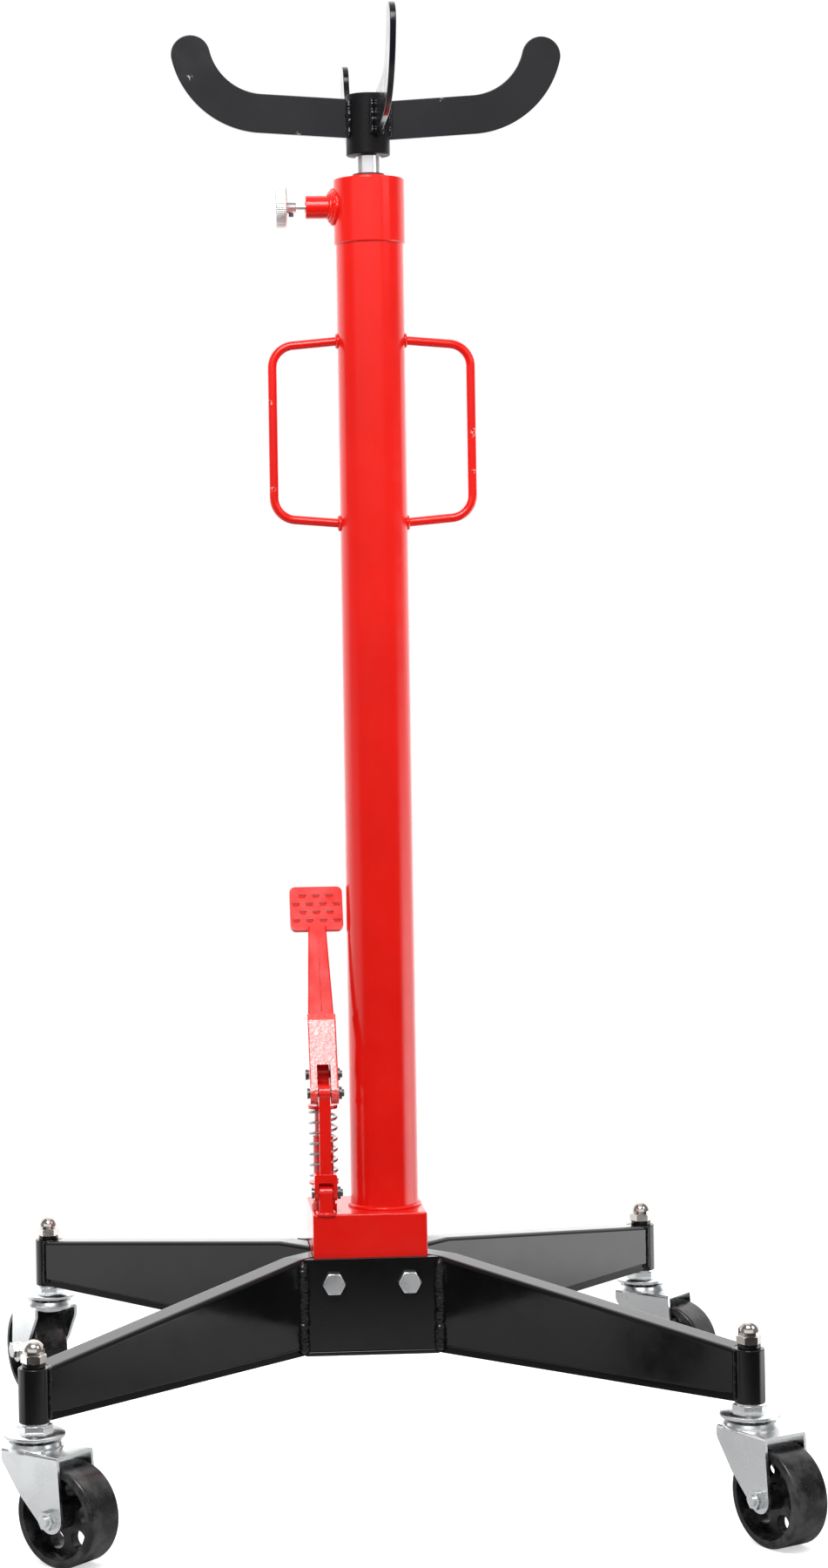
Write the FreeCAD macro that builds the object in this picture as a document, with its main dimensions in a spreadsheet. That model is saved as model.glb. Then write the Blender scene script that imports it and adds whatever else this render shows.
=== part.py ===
"""Foot-pumped vertical transmission jack, half-ton class.

Frame: millimetres, +Z up, origin on the floor under the axis of the ram.  +X runs to the right
of someone who faces the pedal and -Y points at that person.
"""
import FreeCAD, Part

import math
import os
import re

import Sketcher
from FreeCAD import Placement, Rotation, Vector

doc = FreeCAD.newDocument("TransmissionJack")
sheet = doc.addObject("Spreadsheet::Sheet", "Dimensions")

# Driving dimensions in millimetres and degrees: (group, {alias: value}).
DIMENSIONS = [
    ("base frame", {
        "base_mid": -15.6,          # middle of the base, from the ram axis
        "stem_reach": 274.4,        # caster stems left and right of the middle
        "stem_spread": 256,         # caster stems in front of and behind the ram axis
        "frame_low": 98.5,
        "frame_top": 179,
        "plate_half": 56.6,         # half length of the front and rear plates
        "plate_face": 48,           # outer face of those plates
        "plate_thick": 5,
        "floor_plate_thick": 4,
        "leg_angle": 45.8,
        "leg_wide": 22,
        "leg_wall": 3,
        "leg_round": 3.5,
        "leg_tip_low": 103,
        "bar_tall": 7,
        "bar_inset": 2.4,
        "weld_gap": 0.1,
        "sleeve_dia": 24,
        "sleeve_bore": 12.6,
        "sleeve_low": 102.5,
        "sleeve_top": 144,
    }),
    ("frame bolts", {
        "bolt_spacing": 63,
        "bolt_height": 159,
        "bolt_dia": 10,
        "bolt_across": 17,
        "bolt_head": 6.4,
        "bolt_reach": 20,
    }),
    ("base block", {
        "block_wide": 95.2,
        "block_deep": 85.8,
        "block_low": 142,
        "block_top": 215,
        "block_round": 1.5,
        "seat_depth": 10,
        "oil_way": 6,
    }),
    ("column", {
        "tube_dia": 57,
        "tube_wall": 3.5,
        "tube_top": 1025,
        "cylinder_dia": 36,
        "cylinder_bore": 28,
        "cylinder_top": 1049,
        "collar_dia": 60,
        "collar_top": 1080,
        "spigot": 8,
        "gland_bore": 34,
        "gland_floor": 1058,
        "gland_low": 1068,
        "gland_lip_dia": 30,
        "gland_top": 1083,
        "wiper_dia": 27,
        "wiper_low": 1078.5,
        "wiper_top": 1084.5,
        "filler_height": 985,
        "filler_dia": 10,
    }),
    ("ram and saddle", {
        "ram_dia": 22,
        "ram_low": 205.5,
        "ram_top": 1127.95,
        "ring_dia": 27.2,
        "ring_tall": 18,
        "running": 0.08,            # radial clearance of a running fit
        "hub_dia": 36.8,
        "hub_low": 1100,
        "hub_web": 3.5,
        "hub_top": 1151,
        "saddle_turn": 0.8,
        "arm_thick": 5,
        "arm_tall": 32.8,
        "arm_shift": 6,             # how far each arm stands beside the hub's middle
        "arm_level": 1129.3,        # height of an arm's middle line at the hub's middle
        "arm_rise": 3.7,            # slope of the straight part, in degrees
        "arm_flat": 91,             # reach of the straight part
        "arm_bend": 64,             # radius of the curve's middle line
        "arm_sweep": 73.4,          # angle that the arm turns up through
        "arm_chamfer": 5.5,         # weld chamfer at the top of the inner end
    }),
    ("handles", {
        "rod_dia": 7.6,
        "grip_reach": 84,
        "grip_top": 939,
        "grip_low": 795,
        "bar_drop": 5,
        "rod_bend": 19,
    }),
    ("release valve", {
        "valve_height": 1057,
        "boss_dia": 19.5,
        "boss_end": 54,
        "boss_bore": 10.16,
        "boss_floor": 36,
        "spindle_dia": 10,
        "spindle_neck": 4.6,
        "knob_hub_dia": 10,
        "knob_hub_near": 62,
        "knob_near": 70,
        "knob_far": 80,
        "knob_dia": 35,
        "ball_dia": 6.4,
        "set_screw_dia": 4,
    }),
    ("pump", {
        "pump_side": -52,           # pump and pedal stand this far to the side of the ram axis
        "pump_back": -15,
        "barrel_dia": 19,
        "barrel_low": 197,
        "barrel_shoulder": 236.5,
        "barrel_neck": 17,
        "barrel_top": 276,
        "flange_dia": 21.6,
        "flange_tall": 5,
        "seat_thick": 1.5,
        "spring_dia": 24.8,
        "spring_wire": 2.3,
        "spring_pitch": 8.8,
        "spring_top": 299.6,
        "plunger_dia": 14,
        "plunger_low": 226,
        "cap_thick": 3,
        "head_wide": 10.5,
        "head_deep": 15,
        "head_top": 337,
        "seal_tall": 5,
    }),
    ("linkage", {
        "link_front": -36.5,        # the link's two pivots lie on this line
        "lug_wide": 11,
        "lug_deep": 13,
        "lug_pivot": 232,
        "link_pivot": 315,
        "lever_back": 21.5,           # plunger pin behind the link pivot
        "lever_rise": 12.7,         # plunger pin above the link pivot
        "pin_dia": 6,
        "pin_slack": 1.3,
        "fork_wide": 19,
        "fork_wall": 3.5,
        "fork_deep": 13,
        "fork_top": 248,
        "link_wide": 9.4,
        "link_deep": 12,
        "link_eye": 15,
        "lever_lean": 25.3,
        "socket_wide": 23.7,
        "slot_wide": 11.5,
        "socket_round": 9,
        "socket_long": 67,
        "arm_plate": 8,
        "arm_root": 21.5,
        "arm_neck": 15,
        "pad_low": 143,
        "pad_wide": 45,
        "pad_tall": 39,
        "pad_thick": 5.5,
        "pad_round": 5,
        "tread_wide": 6.4,
        "tread_tall": 2.8,
        "tread_pitch": 11.5,
        "tread_row": 7.4,
    }),
    ("casters", {
        "wheel_dia": 76.2,
        "wheel_wide": 32,
        "wheel_round": 3,
        "recess_dia": 63,
        "web_thick": 8,
        "wheel_hub": 18,
        "hub_wide": 35.6,
        "hole_dia": 14,
        "hole_circle": 42.5,
        "hole_phase": 8,            # turn of the first hole from the wheel's own +X
        "axle_dia": 8,
        "trail": 33,
        "yoke_wide": 41,
        "yoke_thick": 2.5,
        "yoke_top": 85,
        "yoke_front": 16,
        "yoke_rear": 40.5,
        "yoke_foot": 11,
        "yoke_knee": 1.5,           # where the front edge bends, behind the stem's axis
        "dome_dia": 44,
        "dome_top": 90.3,
        "disc_low": 91.7,
        "disc_top": 96.5,
        "disc_dia": 47,
        "stem_dia": 12,
        "stem_hex": 24,
        "neck_dia": 16,
        "stem_flange": 27,
        "spacer_dia": 18,
        "spacer_tall": 4,
        "cap_across": 17.4,
        "cap_hex_tall": 6.2,
        "cap_dome": 16.8,
        "cap_top": 165,
        "axle_across": 13,
    }),
]
ALIASES = set()
row = 1
for title, cells in DIMENSIONS:
    sheet.set(f"A{row}", title)
    row += 1
    for alias, number in cells.items():
        sheet.set(f"A{row}", alias)
        sheet.set(f"B{row}", str(number))
        sheet.setAlias(f"B{row}", alias)
        ALIASES.add(alias)
        row += 1
doc.recompute()


def size(alias):
    """The present value of a sheet cell, for picking edges and first guesses."""
    return float(sheet.get(alias))


def bound(formula):
    """A formula in sheet words, with each word turned into a reference to its cell."""
    def cell(match):
        word = match.group(0)
        return "Dimensions." + word if word in ALIASES else word
    return re.sub(r"[a-z_]+", cell, formula)


# ---------------------------------------------------------------- PartDesign helpers
def new_body(name, x="0", y="0", z="0", turn=None):
    """A body whose place and turn about +Z follow formulas of the sheet."""
    body = doc.addObject("PartDesign::Body", name)
    body.Label = name
    place(body, x, y, z, turn)
    return body


def place(part, x="0", y="0", z="0", turn=None):
    part.Placement = Placement(Vector(0, 0, 0), Rotation(Vector(0, 0, 1), 0))
    for axis, formula in zip("xyz", (x, y, z)):
        part.setExpression(f"Placement.Base.{axis}", bound(formula))
    if turn is not None:
        part.setExpression("Placement.Rotation.Angle", bound(turn))


def new_sketch(body, plane, name="outline", offset=None):
    """An empty sketch on one of the body's own origin planes."""
    sketch = body.newObject("Sketcher::SketchObject", f"{body.Name}_{name}")
    roles = {face.Role: face for face in body.Origin.OriginFeatures}
    sketch.AttachmentSupport = [(roles[plane], "")]
    sketch.MapMode = "FlatFace"
    if offset is not None:
        sketch.setExpression("AttachmentOffset.Base.z", bound(offset))
    return sketch


def drive(sketch, constraint, formula):
    index = sketch.addConstraint(constraint)
    sketch.setExpression(f"Constraints[{index}]", bound(formula))


def pin_point(sketch, edge, end, corner):
    """Hold one point of an edge at (x, y), both formulas of the sheet."""
    for kind, formula in zip(("DistanceX", "DistanceY"), corner):
        drive(sketch, Sketcher.Constraint(kind, -1, 1, edge, end, 0.0), formula)


def polygon(sketch, corners):
    """A closed outline of straight edges; each corner is a pair of formulas."""
    count = len(corners)
    first = sketch.GeometryCount
    for step in range(count):
        angle = 2 * math.pi * step / count
        after = 2 * math.pi * (step + 1) / count
        start = Vector(math.cos(angle), math.sin(angle), 0)
        end = Vector(math.cos(after), math.sin(after), 0)
        sketch.addGeometry(Part.LineSegment(start, end))
    for step in range(count):
        following = first + (step + 1) % count
        sketch.addConstraint(Sketcher.Constraint("Coincident", first + step, 2, following, 1))
    for step, corner in enumerate(corners):
        pin_point(sketch, first + step, 1, corner)


def circle(sketch, diameter, x="0", y="0"):
    edge = sketch.addGeometry(Part.Circle(Vector(0, 0, 0), Vector(0, 0, 1), 1))
    pin_point(sketch, edge, 3, (x, y))
    drive(sketch, Sketcher.Constraint("Diameter", edge, 1.0), diameter)


def rectangle(sketch, wide, tall, x="0", y="0"):
    """A rectangle centred on (x, y)."""
    left, right = f"{x} - ({wide}) / 2", f"{x} + ({wide}) / 2"
    low, high = f"{y} - ({tall}) / 2", f"{y} + ({tall}) / 2"
    polygon(sketch, [(left, low), (right, low), (right, high), (left, high)])


def hexagon(sketch, across, x="0", y="0"):
    """A hexagon by its width across the flats."""
    radius = f"({across}) / sqrt(3)"
    corners = []
    for step in range(6):
        angle = 60 * step
        corners.append((f"{x} + {radius} * cos({angle})", f"{y} + {radius} * sin({angle})"))
    polygon(sketch, corners)


def pad(body, sketch, length, midplane=False, backwards=False):
    feature = body.newObject("PartDesign::Pad", f"{body.Name}_pad")
    feature.Profile = sketch
    feature.SideType = "Symmetric" if midplane else "One side"
    feature.Reversed = backwards
    feature.setExpression("Length", bound(length))
    doc.recompute()
    return feature


def cut(body, sketch, length, midplane=True, backwards=False):
    """A pocket, checked to have taken material away."""
    before = body.Shape.Volume
    feature = body.newObject("PartDesign::Pocket", f"{body.Name}_pocket")
    feature.Profile = sketch
    feature.SideType = "Symmetric" if midplane else "One side"
    feature.Reversed = backwards
    feature.setExpression("Length", bound(length))
    doc.recompute()
    if body.Shape.Volume > before - 0.5:
        raise RuntimeError(f"{body.Name}: {sketch.Name} cuts nothing")
    return feature


def turned(body, profile, plane="XZ_Plane", around="V_Axis", name="profile"):
    """Spin an outline of (radius, height) corners about the body's axis."""
    sketch = new_sketch(body, plane, name)
    polygon(sketch, profile)
    feature = body.newObject("PartDesign::Revolution", f"{body.Name}_{name}_turn")
    feature.Profile = sketch
    feature.ReferenceAxis = (sketch, [around])
    feature.Angle = 360
    doc.recompute()
    return feature


def crown_corners(body, plane, across, face, inward):
    """Turn down the corners of a hexagon at one face; inward is 1 or -1."""
    before = body.Shape.Volume
    sketch = new_sketch(body, plane, "crown")
    start, reach = f"({across}) / 2 - 0.3", f"({across}) / 2 + 3"
    polygon(sketch, [(start, face), (reach, face), (reach, f"{face} + {inward} * 3.3 * tan(30)")])
    feature = body.newObject("PartDesign::Groove", f"{body.Name}_crown_turn")
    feature.Profile = sketch
    feature.ReferenceAxis = (sketch, ["V_Axis"])
    feature.Angle = 360
    doc.recompute()
    if body.Shape.Volume > before - 0.5:
        raise RuntimeError(f"{body.Name}: no corners turned down")


def ring_profile(outer, inner, low, high):
    return [(inner, low), (outer, low), (outer, high), (inner, high)]


def round_edges(body, radius, wanted, kind="PartDesign::Fillet"):
    """Fillet or chamfer the edges of the body's tip that the test picks."""
    base = body.Tip
    names = []
    for index, edge in enumerate(base.Shape.Edges):
        if wanted(edge):
            names.append(f"Edge{index + 1}")
    if not names:
        raise RuntimeError(f"{body.Name}: no edge to round")
    feature = body.newObject(kind, f"{body.Name}_edges")
    feature.Base = (base, names)
    prop = "Radius" if kind.endswith("Fillet") else "Size"
    feature.setExpression(prop, bound(radius))
    doc.recompute()
    return feature


def along(edge, direction):
    """True for a straight edge that runs along the direction."""
    if edge.Curve.TypeId != "Part::GeomLine":
        return False
    run = edge.Vertexes[-1].Point - edge.Vertexes[0].Point
    return run.Length > 1e-6 and abs(run.normalize().dot(direction)) > 0.999


def group(name, copies):
    """Several equal solids under one label."""
    compound = doc.addObject("Part::Compound", name)
    compound.Label = name
    compound.Links = copies
    return compound


def copy_at(master, name, x="0", y="0", z="0", turn=None):
    link = doc.addObject("App::Link", name)
    link.LinkedObject = master
    link.LinkTransform = False
    place(link, x, y, z, turn)
    return link


X_AXIS, Y_AXIS, Z_AXIS = Vector(1, 0, 0), Vector(0, 1, 0), Vector(0, 0, 1)
PARTS = []                  # what is written out, in the order of the assembly

# The four corners of the base: name, side (left -1, right 1), depth (front -1, rear 1).
CORNERS = [
    ("front_left", -1, -1),
    ("front_right", 1, -1),
    ("rear_left", -1, 1),
    ("rear_right", 1, 1),
]


def stem_x(side):
    return f"base_mid + {side} * stem_reach"


def stem_y(depth):
    return f"{depth} * stem_spread"


# ---------------------------------------------------------------- base frame
def end_plate(name, depth):
    """A plate mitred at both ends, where the legs' faces close on it."""
    body = new_body(name, x="base_mid", z="frame_low + floor_plate_thick")
    sketch = new_sketch(body, "XY_Plane")
    face = f"{depth} * plate_face"
    back = f"{depth} * (plate_face - plate_thick)"
    short = "plate_half - plate_thick / tan(leg_angle)"
    polygon(sketch, [("-plate_half", face), ("plate_half", face),
                     (short, back), (f"-({short})", back)])
    pad(body, sketch, "frame_top - frame_low - floor_plate_thick")
    holes = new_sketch(body, "XZ_Plane", "bolt_holes")
    for side in (-1, 1):
        circle(holes, "bolt_dia + 1", f"{side} * bolt_spacing / 2",
               "bolt_height - frame_low - floor_plate_thick")
    cut(body, holes, "4 * plate_face")
    PARTS.append(body)


def floor_plate():
    """The plate under the frame, waisted where the legs come in."""
    body = new_body("floor_plate", x="base_mid", z="frame_low")
    sketch = new_sketch(body, "XY_Plane")
    waist_x = "(block_wide / 2 + weld_gap)"
    waist_y = f"(plate_face - (plate_half - {waist_x}) * tan(leg_angle))"
    polygon(sketch, [
        ("-plate_half", "-plate_face"), ("plate_half", "-plate_face"),
        (waist_x, f"-{waist_y}"), (waist_x, waist_y),
        ("plate_half", "plate_face"), ("-plate_half", "plate_face"),
        (f"-{waist_x}", waist_y), (f"-{waist_x}", f"-{waist_y}"),
    ])
    pad(body, sketch, "floor_plate_thick")
    PARTS.append(body)


LEG_START = "(sleeve_dia / 2 - 4)"
LEG_CORNER = "300"
LEG_INNER = "345"


def leg_ends(body, hand):
    """Cut a leg to the block's side and to its sleeve."""
    side_x = "(stem_reach - block_wide / 2 - 4 * weld_gap)"
    half = "(leg_wide / 2 + 1)"
    near = f"(({side_x} - {half} * sin(leg_angle)) / cos(leg_angle))"
    far = f"(({side_x} + {half} * sin(leg_angle)) / cos(leg_angle))"
    mitre = new_sketch(body, "XY_Plane", "mitre")
    polygon(mitre, [(near, f"{-hand} * {half}"), (f"{LEG_INNER} + 20", f"{-hand} * {half}"),
                    (f"{LEG_INNER} + 20", f"{hand} * {half}"), (far, f"{hand} * {half}")])
    cut(body, mitre, "4 * frame_top")
    notch = new_sketch(body, "XY_Plane", "notch")
    circle(notch, "sleeve_dia + weld_gap")
    cut(body, notch, "4 * frame_top")


def leg(name, side, depth):
    """A folded channel, open below, that tapers from the base to the sleeve."""
    hand = side * depth
    body = new_body(name, x=stem_x(side), y=stem_y(depth), turn=leg_turn(side, depth))
    outline = [
        (LEG_START, "leg_tip_low + bar_tall"), (LEG_CORNER, "frame_low + bar_tall"),
        (LEG_INNER, "frame_low + bar_tall"), (LEG_INNER, "frame_top"),
        (LEG_CORNER, "frame_top"), (LEG_START, "sleeve_top"),
    ]
    side_view = new_sketch(body, "XZ_Plane", "side")
    polygon(side_view, outline)
    pad(body, side_view, "leg_wide", midplane=True)

    def top_edge(edge):
        middle = edge.CenterOfMass
        level = along(edge, Y_AXIS) is False and middle.z > 0.5 * (size("sleeve_top") + 110)
        return level and abs(abs(middle.y) - size("leg_wide") / 2) < 0.01 and not along(edge, Z_AXIS)

    round_edges(body, "leg_round", top_edge)
    hollow = new_sketch(body, "XZ_Plane", "hollow")
    polygon(hollow, [
        ("0", "0"), (f"{LEG_INNER} + 5", "0"), (f"{LEG_INNER} + 5", "frame_top - leg_wall"),
        (LEG_CORNER, "frame_top - leg_wall"), ("0", "sleeve_top - leg_wall - 1.5"),
    ])
    cut(body, hollow, "leg_wide - 2 * leg_wall")
    leg_ends(body, hand)
    PARTS.append(body)


def leg_turn(side, depth):
    """Direction of a leg, from its sleeve towards the base."""
    if side < 0:
        return f"{-depth} * leg_angle"
    return f"180 + {depth} * leg_angle"


def base_bar(name, side, depth):
    """The flat bar that closes a leg from below."""
    body = new_body(name, x=stem_x(side), y=stem_y(depth), turn=leg_turn(side, depth))
    side_view = new_sketch(body, "XZ_Plane", "side")
    polygon(side_view, [
        (LEG_START, "leg_tip_low"), (LEG_CORNER, "frame_low"), (LEG_INNER, "frame_low"),
        (LEG_INNER, "frame_low + bar_tall"), (LEG_CORNER, "frame_low + bar_tall"),
        (LEG_START, "leg_tip_low + bar_tall"),
    ])
    pad(body, side_view, "leg_wide - 2 * bar_inset", midplane=True)
    leg_ends(body, side * depth)
    return body


def at_corners(master, name):
    """Copies of a master at the three other caster stems, grouped with it."""
    copies = [master]
    for corner, side, depth in CORNERS[1:]:
        copies.append(copy_at(master, f"{name}_{corner}", x=stem_x(side), y=stem_y(depth)))
    PARTS.append(group(name, copies))


def sleeves():
    body = new_body("sleeve", x=stem_x(-1), y=stem_y(-1))
    turned(body, ring_profile("sleeve_dia / 2", "sleeve_bore / 2", "sleeve_low", "sleeve_top"))
    round_edges(body, "0.8", lambda edge: abs(edge.BoundBox.XLength - size("sleeve_dia")) < 0.01)
    at_corners(body, "caster_sleeves")


def frame_bolts():
    """Two hex bolts through each end plate into the block."""
    body = new_body("bolt", x="base_mid - bolt_spacing / 2", y="-plate_face", z="bolt_height")
    head = new_sketch(body, "XZ_Plane", "head")
    hexagon(head, "bolt_across")
    pad(body, head, "bolt_head")
    crown_corners(body, "XY_Plane", "bolt_across", "-bolt_head", 1)
    shank = new_sketch(body, "XZ_Plane", "shank")
    circle(shank, "bolt_dia")
    pad(body, shank, "bolt_reach", backwards=True)
    copies = [body]
    copies.append(copy_at(body, "bolt_front_right", "base_mid + bolt_spacing / 2",
                          "-plate_face", "bolt_height"))
    for label, side in (("left", -1), ("right", 1)):
        copies.append(copy_at(body, f"bolt_rear_{label}", f"base_mid + {side} * bolt_spacing / 2",
                              "plate_face", "bolt_height", "180"))
    PARTS.append(group("frame_bolts", copies))


end_plate("front_plate", -1)
end_plate("rear_plate", 1)
floor_plate()
bars = []
for corner_name, corner_side, corner_depth in CORNERS:
    leg(f"leg_{corner_name}", corner_side, corner_depth)
    bars.append(base_bar(f"bar_{corner_name}", corner_side, corner_depth))
PARTS.append(group("leg_base_bars", bars))
sleeves()
frame_bolts()


# ---------------------------------------------------------------- hydraulic unit
def base_block():
    """The block that joins pump, column and frame, with its oil ways."""
    body = new_body("base_block", x="base_mid")
    outline = new_sketch(body, "XY_Plane", "outline", offset="block_low")
    rectangle(outline, "block_wide", "block_deep")
    pad(body, outline, "block_top - block_low")
    round_edges(body, "block_round", lambda edge: True)
    seat = new_sketch(body, "XY_Plane", "cylinder_seat", offset="block_top")
    circle(seat, "cylinder_dia + weld_gap", "-base_mid")
    cut(body, seat, "seat_depth", midplane=False)
    pump_seat = new_sketch(body, "XY_Plane", "pump_seat", offset="block_top")
    circle(pump_seat, "barrel_dia + weld_gap", "pump_side - base_mid", "pump_back")
    cut(body, pump_seat, "block_top - barrel_low", midplane=False)
    ways = new_sketch(body, "XY_Plane", "oil_ways", offset="block_top")
    circle(ways, "oil_way", "-base_mid")
    circle(ways, "oil_way", "pump_side - base_mid", "pump_back")
    cut(body, ways, OIL_DEPTH, midplane=False)
    cross = new_sketch(body, "YZ_Plane", "cross_way", offset="-base_mid")
    circle(cross, "oil_way", "pump_back", f"block_top - {OIL_DEPTH} + oil_way / 2")
    cut(body, cross, "0 - pump_side", midplane=False)
    for backwards in (False, True):
        face = "block_deep / 2" if backwards else "-block_deep / 2"
        holes = new_sketch(body, "XZ_Plane", "bolt_holes", offset=face)
        for side in (-1, 1):
            circle(holes, "bolt_dia + weld_gap", f"{side} * bolt_spacing / 2", "bolt_height")
        cut(body, holes, "bolt_reach", midplane=False, backwards=not backwards)
    PARTS.append(body)


def column():
    """Reservoir tube, pressure cylinder, head collar and what seals the ram."""
    tube = new_body("reservoir_tube")
    turned(tube, ring_profile("tube_dia / 2", "tube_dia / 2 - tube_wall",
                              "block_top", "tube_top"))
    filler = new_sketch(tube, "XZ_Plane", "filler_hole")
    circle(filler, "filler_dia + weld_gap", "0", "filler_height")
    cut(tube, filler, "tube_dia", midplane=False)

    cylinder = new_body("pressure_cylinder")
    turned(cylinder, ring_profile("cylinder_dia / 2", "cylinder_bore / 2",
                                  "block_top - seat_depth", "cylinder_top"))

    collar = new_body("head_collar")
    seat_wall = "(cylinder_dia + weld_gap) / 2"
    turned(collar, [
        (seat_wall, "tube_top - spigot"),
        ("tube_dia / 2 - tube_wall - weld_gap", "tube_top - spigot"),
        ("tube_dia / 2 - tube_wall - weld_gap", "tube_top"),
        ("collar_dia / 2", "tube_top"), ("collar_dia / 2", "collar_top"),
        ("gland_bore / 2", "collar_top"), ("gland_bore / 2", "gland_floor"),
        ("ram_dia / 2 + 1", "gland_floor"), ("ram_dia / 2 + 1", "cylinder_top"),
        (seat_wall, "cylinder_top"),
    ])
    wide = size("collar_dia")
    round_edges(collar, "1.2", lambda edge: abs(edge.BoundBox.XLength - wide) < 0.01)
    seat_hole = new_sketch(collar, "YZ_Plane", "valve_seat")
    circle(seat_hole, "ball_dia * 0.55", "0", "valve_height")
    cut(collar, seat_hole, "collar_dia", midplane=False)
    chamber = new_sketch(collar, "YZ_Plane", "valve_chamber", offset=f"-{VALVE_SEAT}")
    circle(chamber, "ball_dia + 0.8", "0", "valve_height")
    cut(collar, chamber, "collar_dia", midplane=False)

    seal = new_body("rod_seal")
    turned(seal, ring_profile("gland_bore / 2 - weld_gap", "ram_dia / 2 + running",
                              "gland_floor", "gland_low"))
    nut = new_body("gland_nut")
    turned(nut, [
        ("ram_dia / 2 + running", "gland_low"), ("gland_bore / 2 - weld_gap", "gland_low"),
        ("gland_bore / 2 - weld_gap", "collar_top"), ("gland_lip_dia / 2", "collar_top"),
        ("gland_lip_dia / 2", "gland_top"), ("wiper_dia / 2 + weld_gap", "gland_top"),
        ("wiper_dia / 2 + weld_gap", "wiper_low"), ("ram_dia / 2 + running", "wiper_low"),
    ])
    wiper = new_body("wiper_ring")
    turned(wiper, ring_profile("wiper_dia / 2", "ram_dia / 2 + running",
                               "wiper_low", "wiper_top"))
    round_edges(wiper, "0.8",
                lambda edge: abs(edge.BoundBox.XLength - size("wiper_dia")) < 0.01
                and edge.BoundBox.ZMin > size("wiper_top") - 0.1)

    plug = new_body("filler_plug", z="filler_height")
    shank = new_sketch(plug, "XZ_Plane", "shank", offset="-tube_dia / 2 - weld_gap")
    circle(shank, "filler_dia")
    pad(plug, shank, "tube_wall")
    head = new_sketch(plug, "XZ_Plane", "head", offset="-tube_dia / 2 - weld_gap")
    hexagon(head, "filler_dia + 4")
    pad(plug, head, "4.5", backwards=True)
    PARTS.extend([tube, cylinder, collar, seal, nut, wiper, plug])


def handle(name, turn):
    """A bent-rod grip welded to the column at both ends."""
    body = new_body(name, turn=turn)
    start = "(tube_dia / 2 - 1.5)"
    fall = f"((grip_reach - {start}) * tan(bar_drop))"
    ends = [(start, f"grip_top + {fall}"), (start, f"grip_low - {fall}")]
    path = new_sketch(body, "XZ_Plane", "path")
    left, reach, bend = size("tube_dia") / 2 - 1.5, size("grip_reach"), size("rod_bend")
    top, low = size("grip_top"), size("grip_low")
    drop = (reach - left) * math.tan(math.radians(size("bar_drop")))
    bent_in = reach - bend
    path.addGeometry(Part.LineSegment(Vector(left, top + drop, 0), Vector(bent_in, top, 0)))
    path.addGeometry(Part.ArcOfCircle(
        Part.Circle(Vector(bent_in, top - bend, 0), Z_AXIS, bend), 0, math.pi / 2))
    path.addGeometry(Part.LineSegment(Vector(reach, top - bend, 0), Vector(reach, low + bend, 0)))
    path.addGeometry(Part.ArcOfCircle(
        Part.Circle(Vector(bent_in, low + bend, 0), Z_AXIS, bend), 1.5 * math.pi, 2 * math.pi))
    path.addGeometry(Part.LineSegment(Vector(bent_in, low, 0), Vector(left, low - drop, 0)))
    for first, first_end, second, second_end in (
            (0, 2, 1, 2), (1, 1, 2, 1), (2, 2, 3, 2), (3, 1, 4, 1)):
        path.addConstraint(Sketcher.Constraint("Tangent", first, first_end, second, second_end))
    pin_point(path, 0, 1, ends[0])
    pin_point(path, 4, 2, ends[1])
    path.addConstraint(Sketcher.Constraint("Vertical", 2))
    drive(path, Sketcher.Constraint("DistanceX", -1, 1, 2, 1, reach), "grip_reach")
    for edge in (1, 3):
        drive(path, Sketcher.Constraint("Radius", edge, bend), "rod_bend")
    for edge, end, height in ((0, 2, "grip_top"), (4, 1, "grip_low")):
        sign = "+" if height == "grip_top" else "-"
        rise = f"{sign} rod_bend * tan(45 - bar_drop / 2) * sin(bar_drop)"
        drive(path, Sketcher.Constraint("DistanceY", -1, 1, edge, end, 0.0), f"{height} {rise}")
    section = new_sketch(body, "YZ_Plane", "section", offset=start)
    circle(section, "rod_dia", "0", ends[0][1])
    pipe = body.newObject("PartDesign::AdditivePipe", f"{name}_pipe")
    pipe.Profile = section
    pipe.Spine = path
    doc.recompute()
    trim = new_sketch(body, "XY_Plane", "tube_trim")
    circle(trim, "tube_dia + weld_gap")
    cut(body, trim, "4 * tube_top")
    PARTS.append(body)


def valve_boss():
    body = new_body("valve_boss", z="valve_height")
    outer = new_sketch(body, "YZ_Plane", "outer", offset="-boss_end")
    circle(outer, "boss_dia")
    pad(body, outer, "boss_end - 25")
    wide = size("boss_dia")
    round_edges(body, "1", lambda edge: abs(edge.BoundBox.YLength - wide) < 0.01
                and edge.BoundBox.XMin < -50)
    trim = new_sketch(body, "XY_Plane", "collar_trim")
    circle(trim, "collar_dia + weld_gap")
    cut(body, trim, "4 * boss_dia")
    bore = new_sketch(body, "YZ_Plane", "thread", offset="-boss_floor")
    circle(bore, "boss_bore")
    cut(body, bore, "boss_end", midplane=False)
    throat = new_sketch(body, "YZ_Plane", "throat")
    circle(throat, "ball_dia + 0.8")
    cut(body, throat, "boss_end", midplane=False)
    PARTS.append(body)


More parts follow.
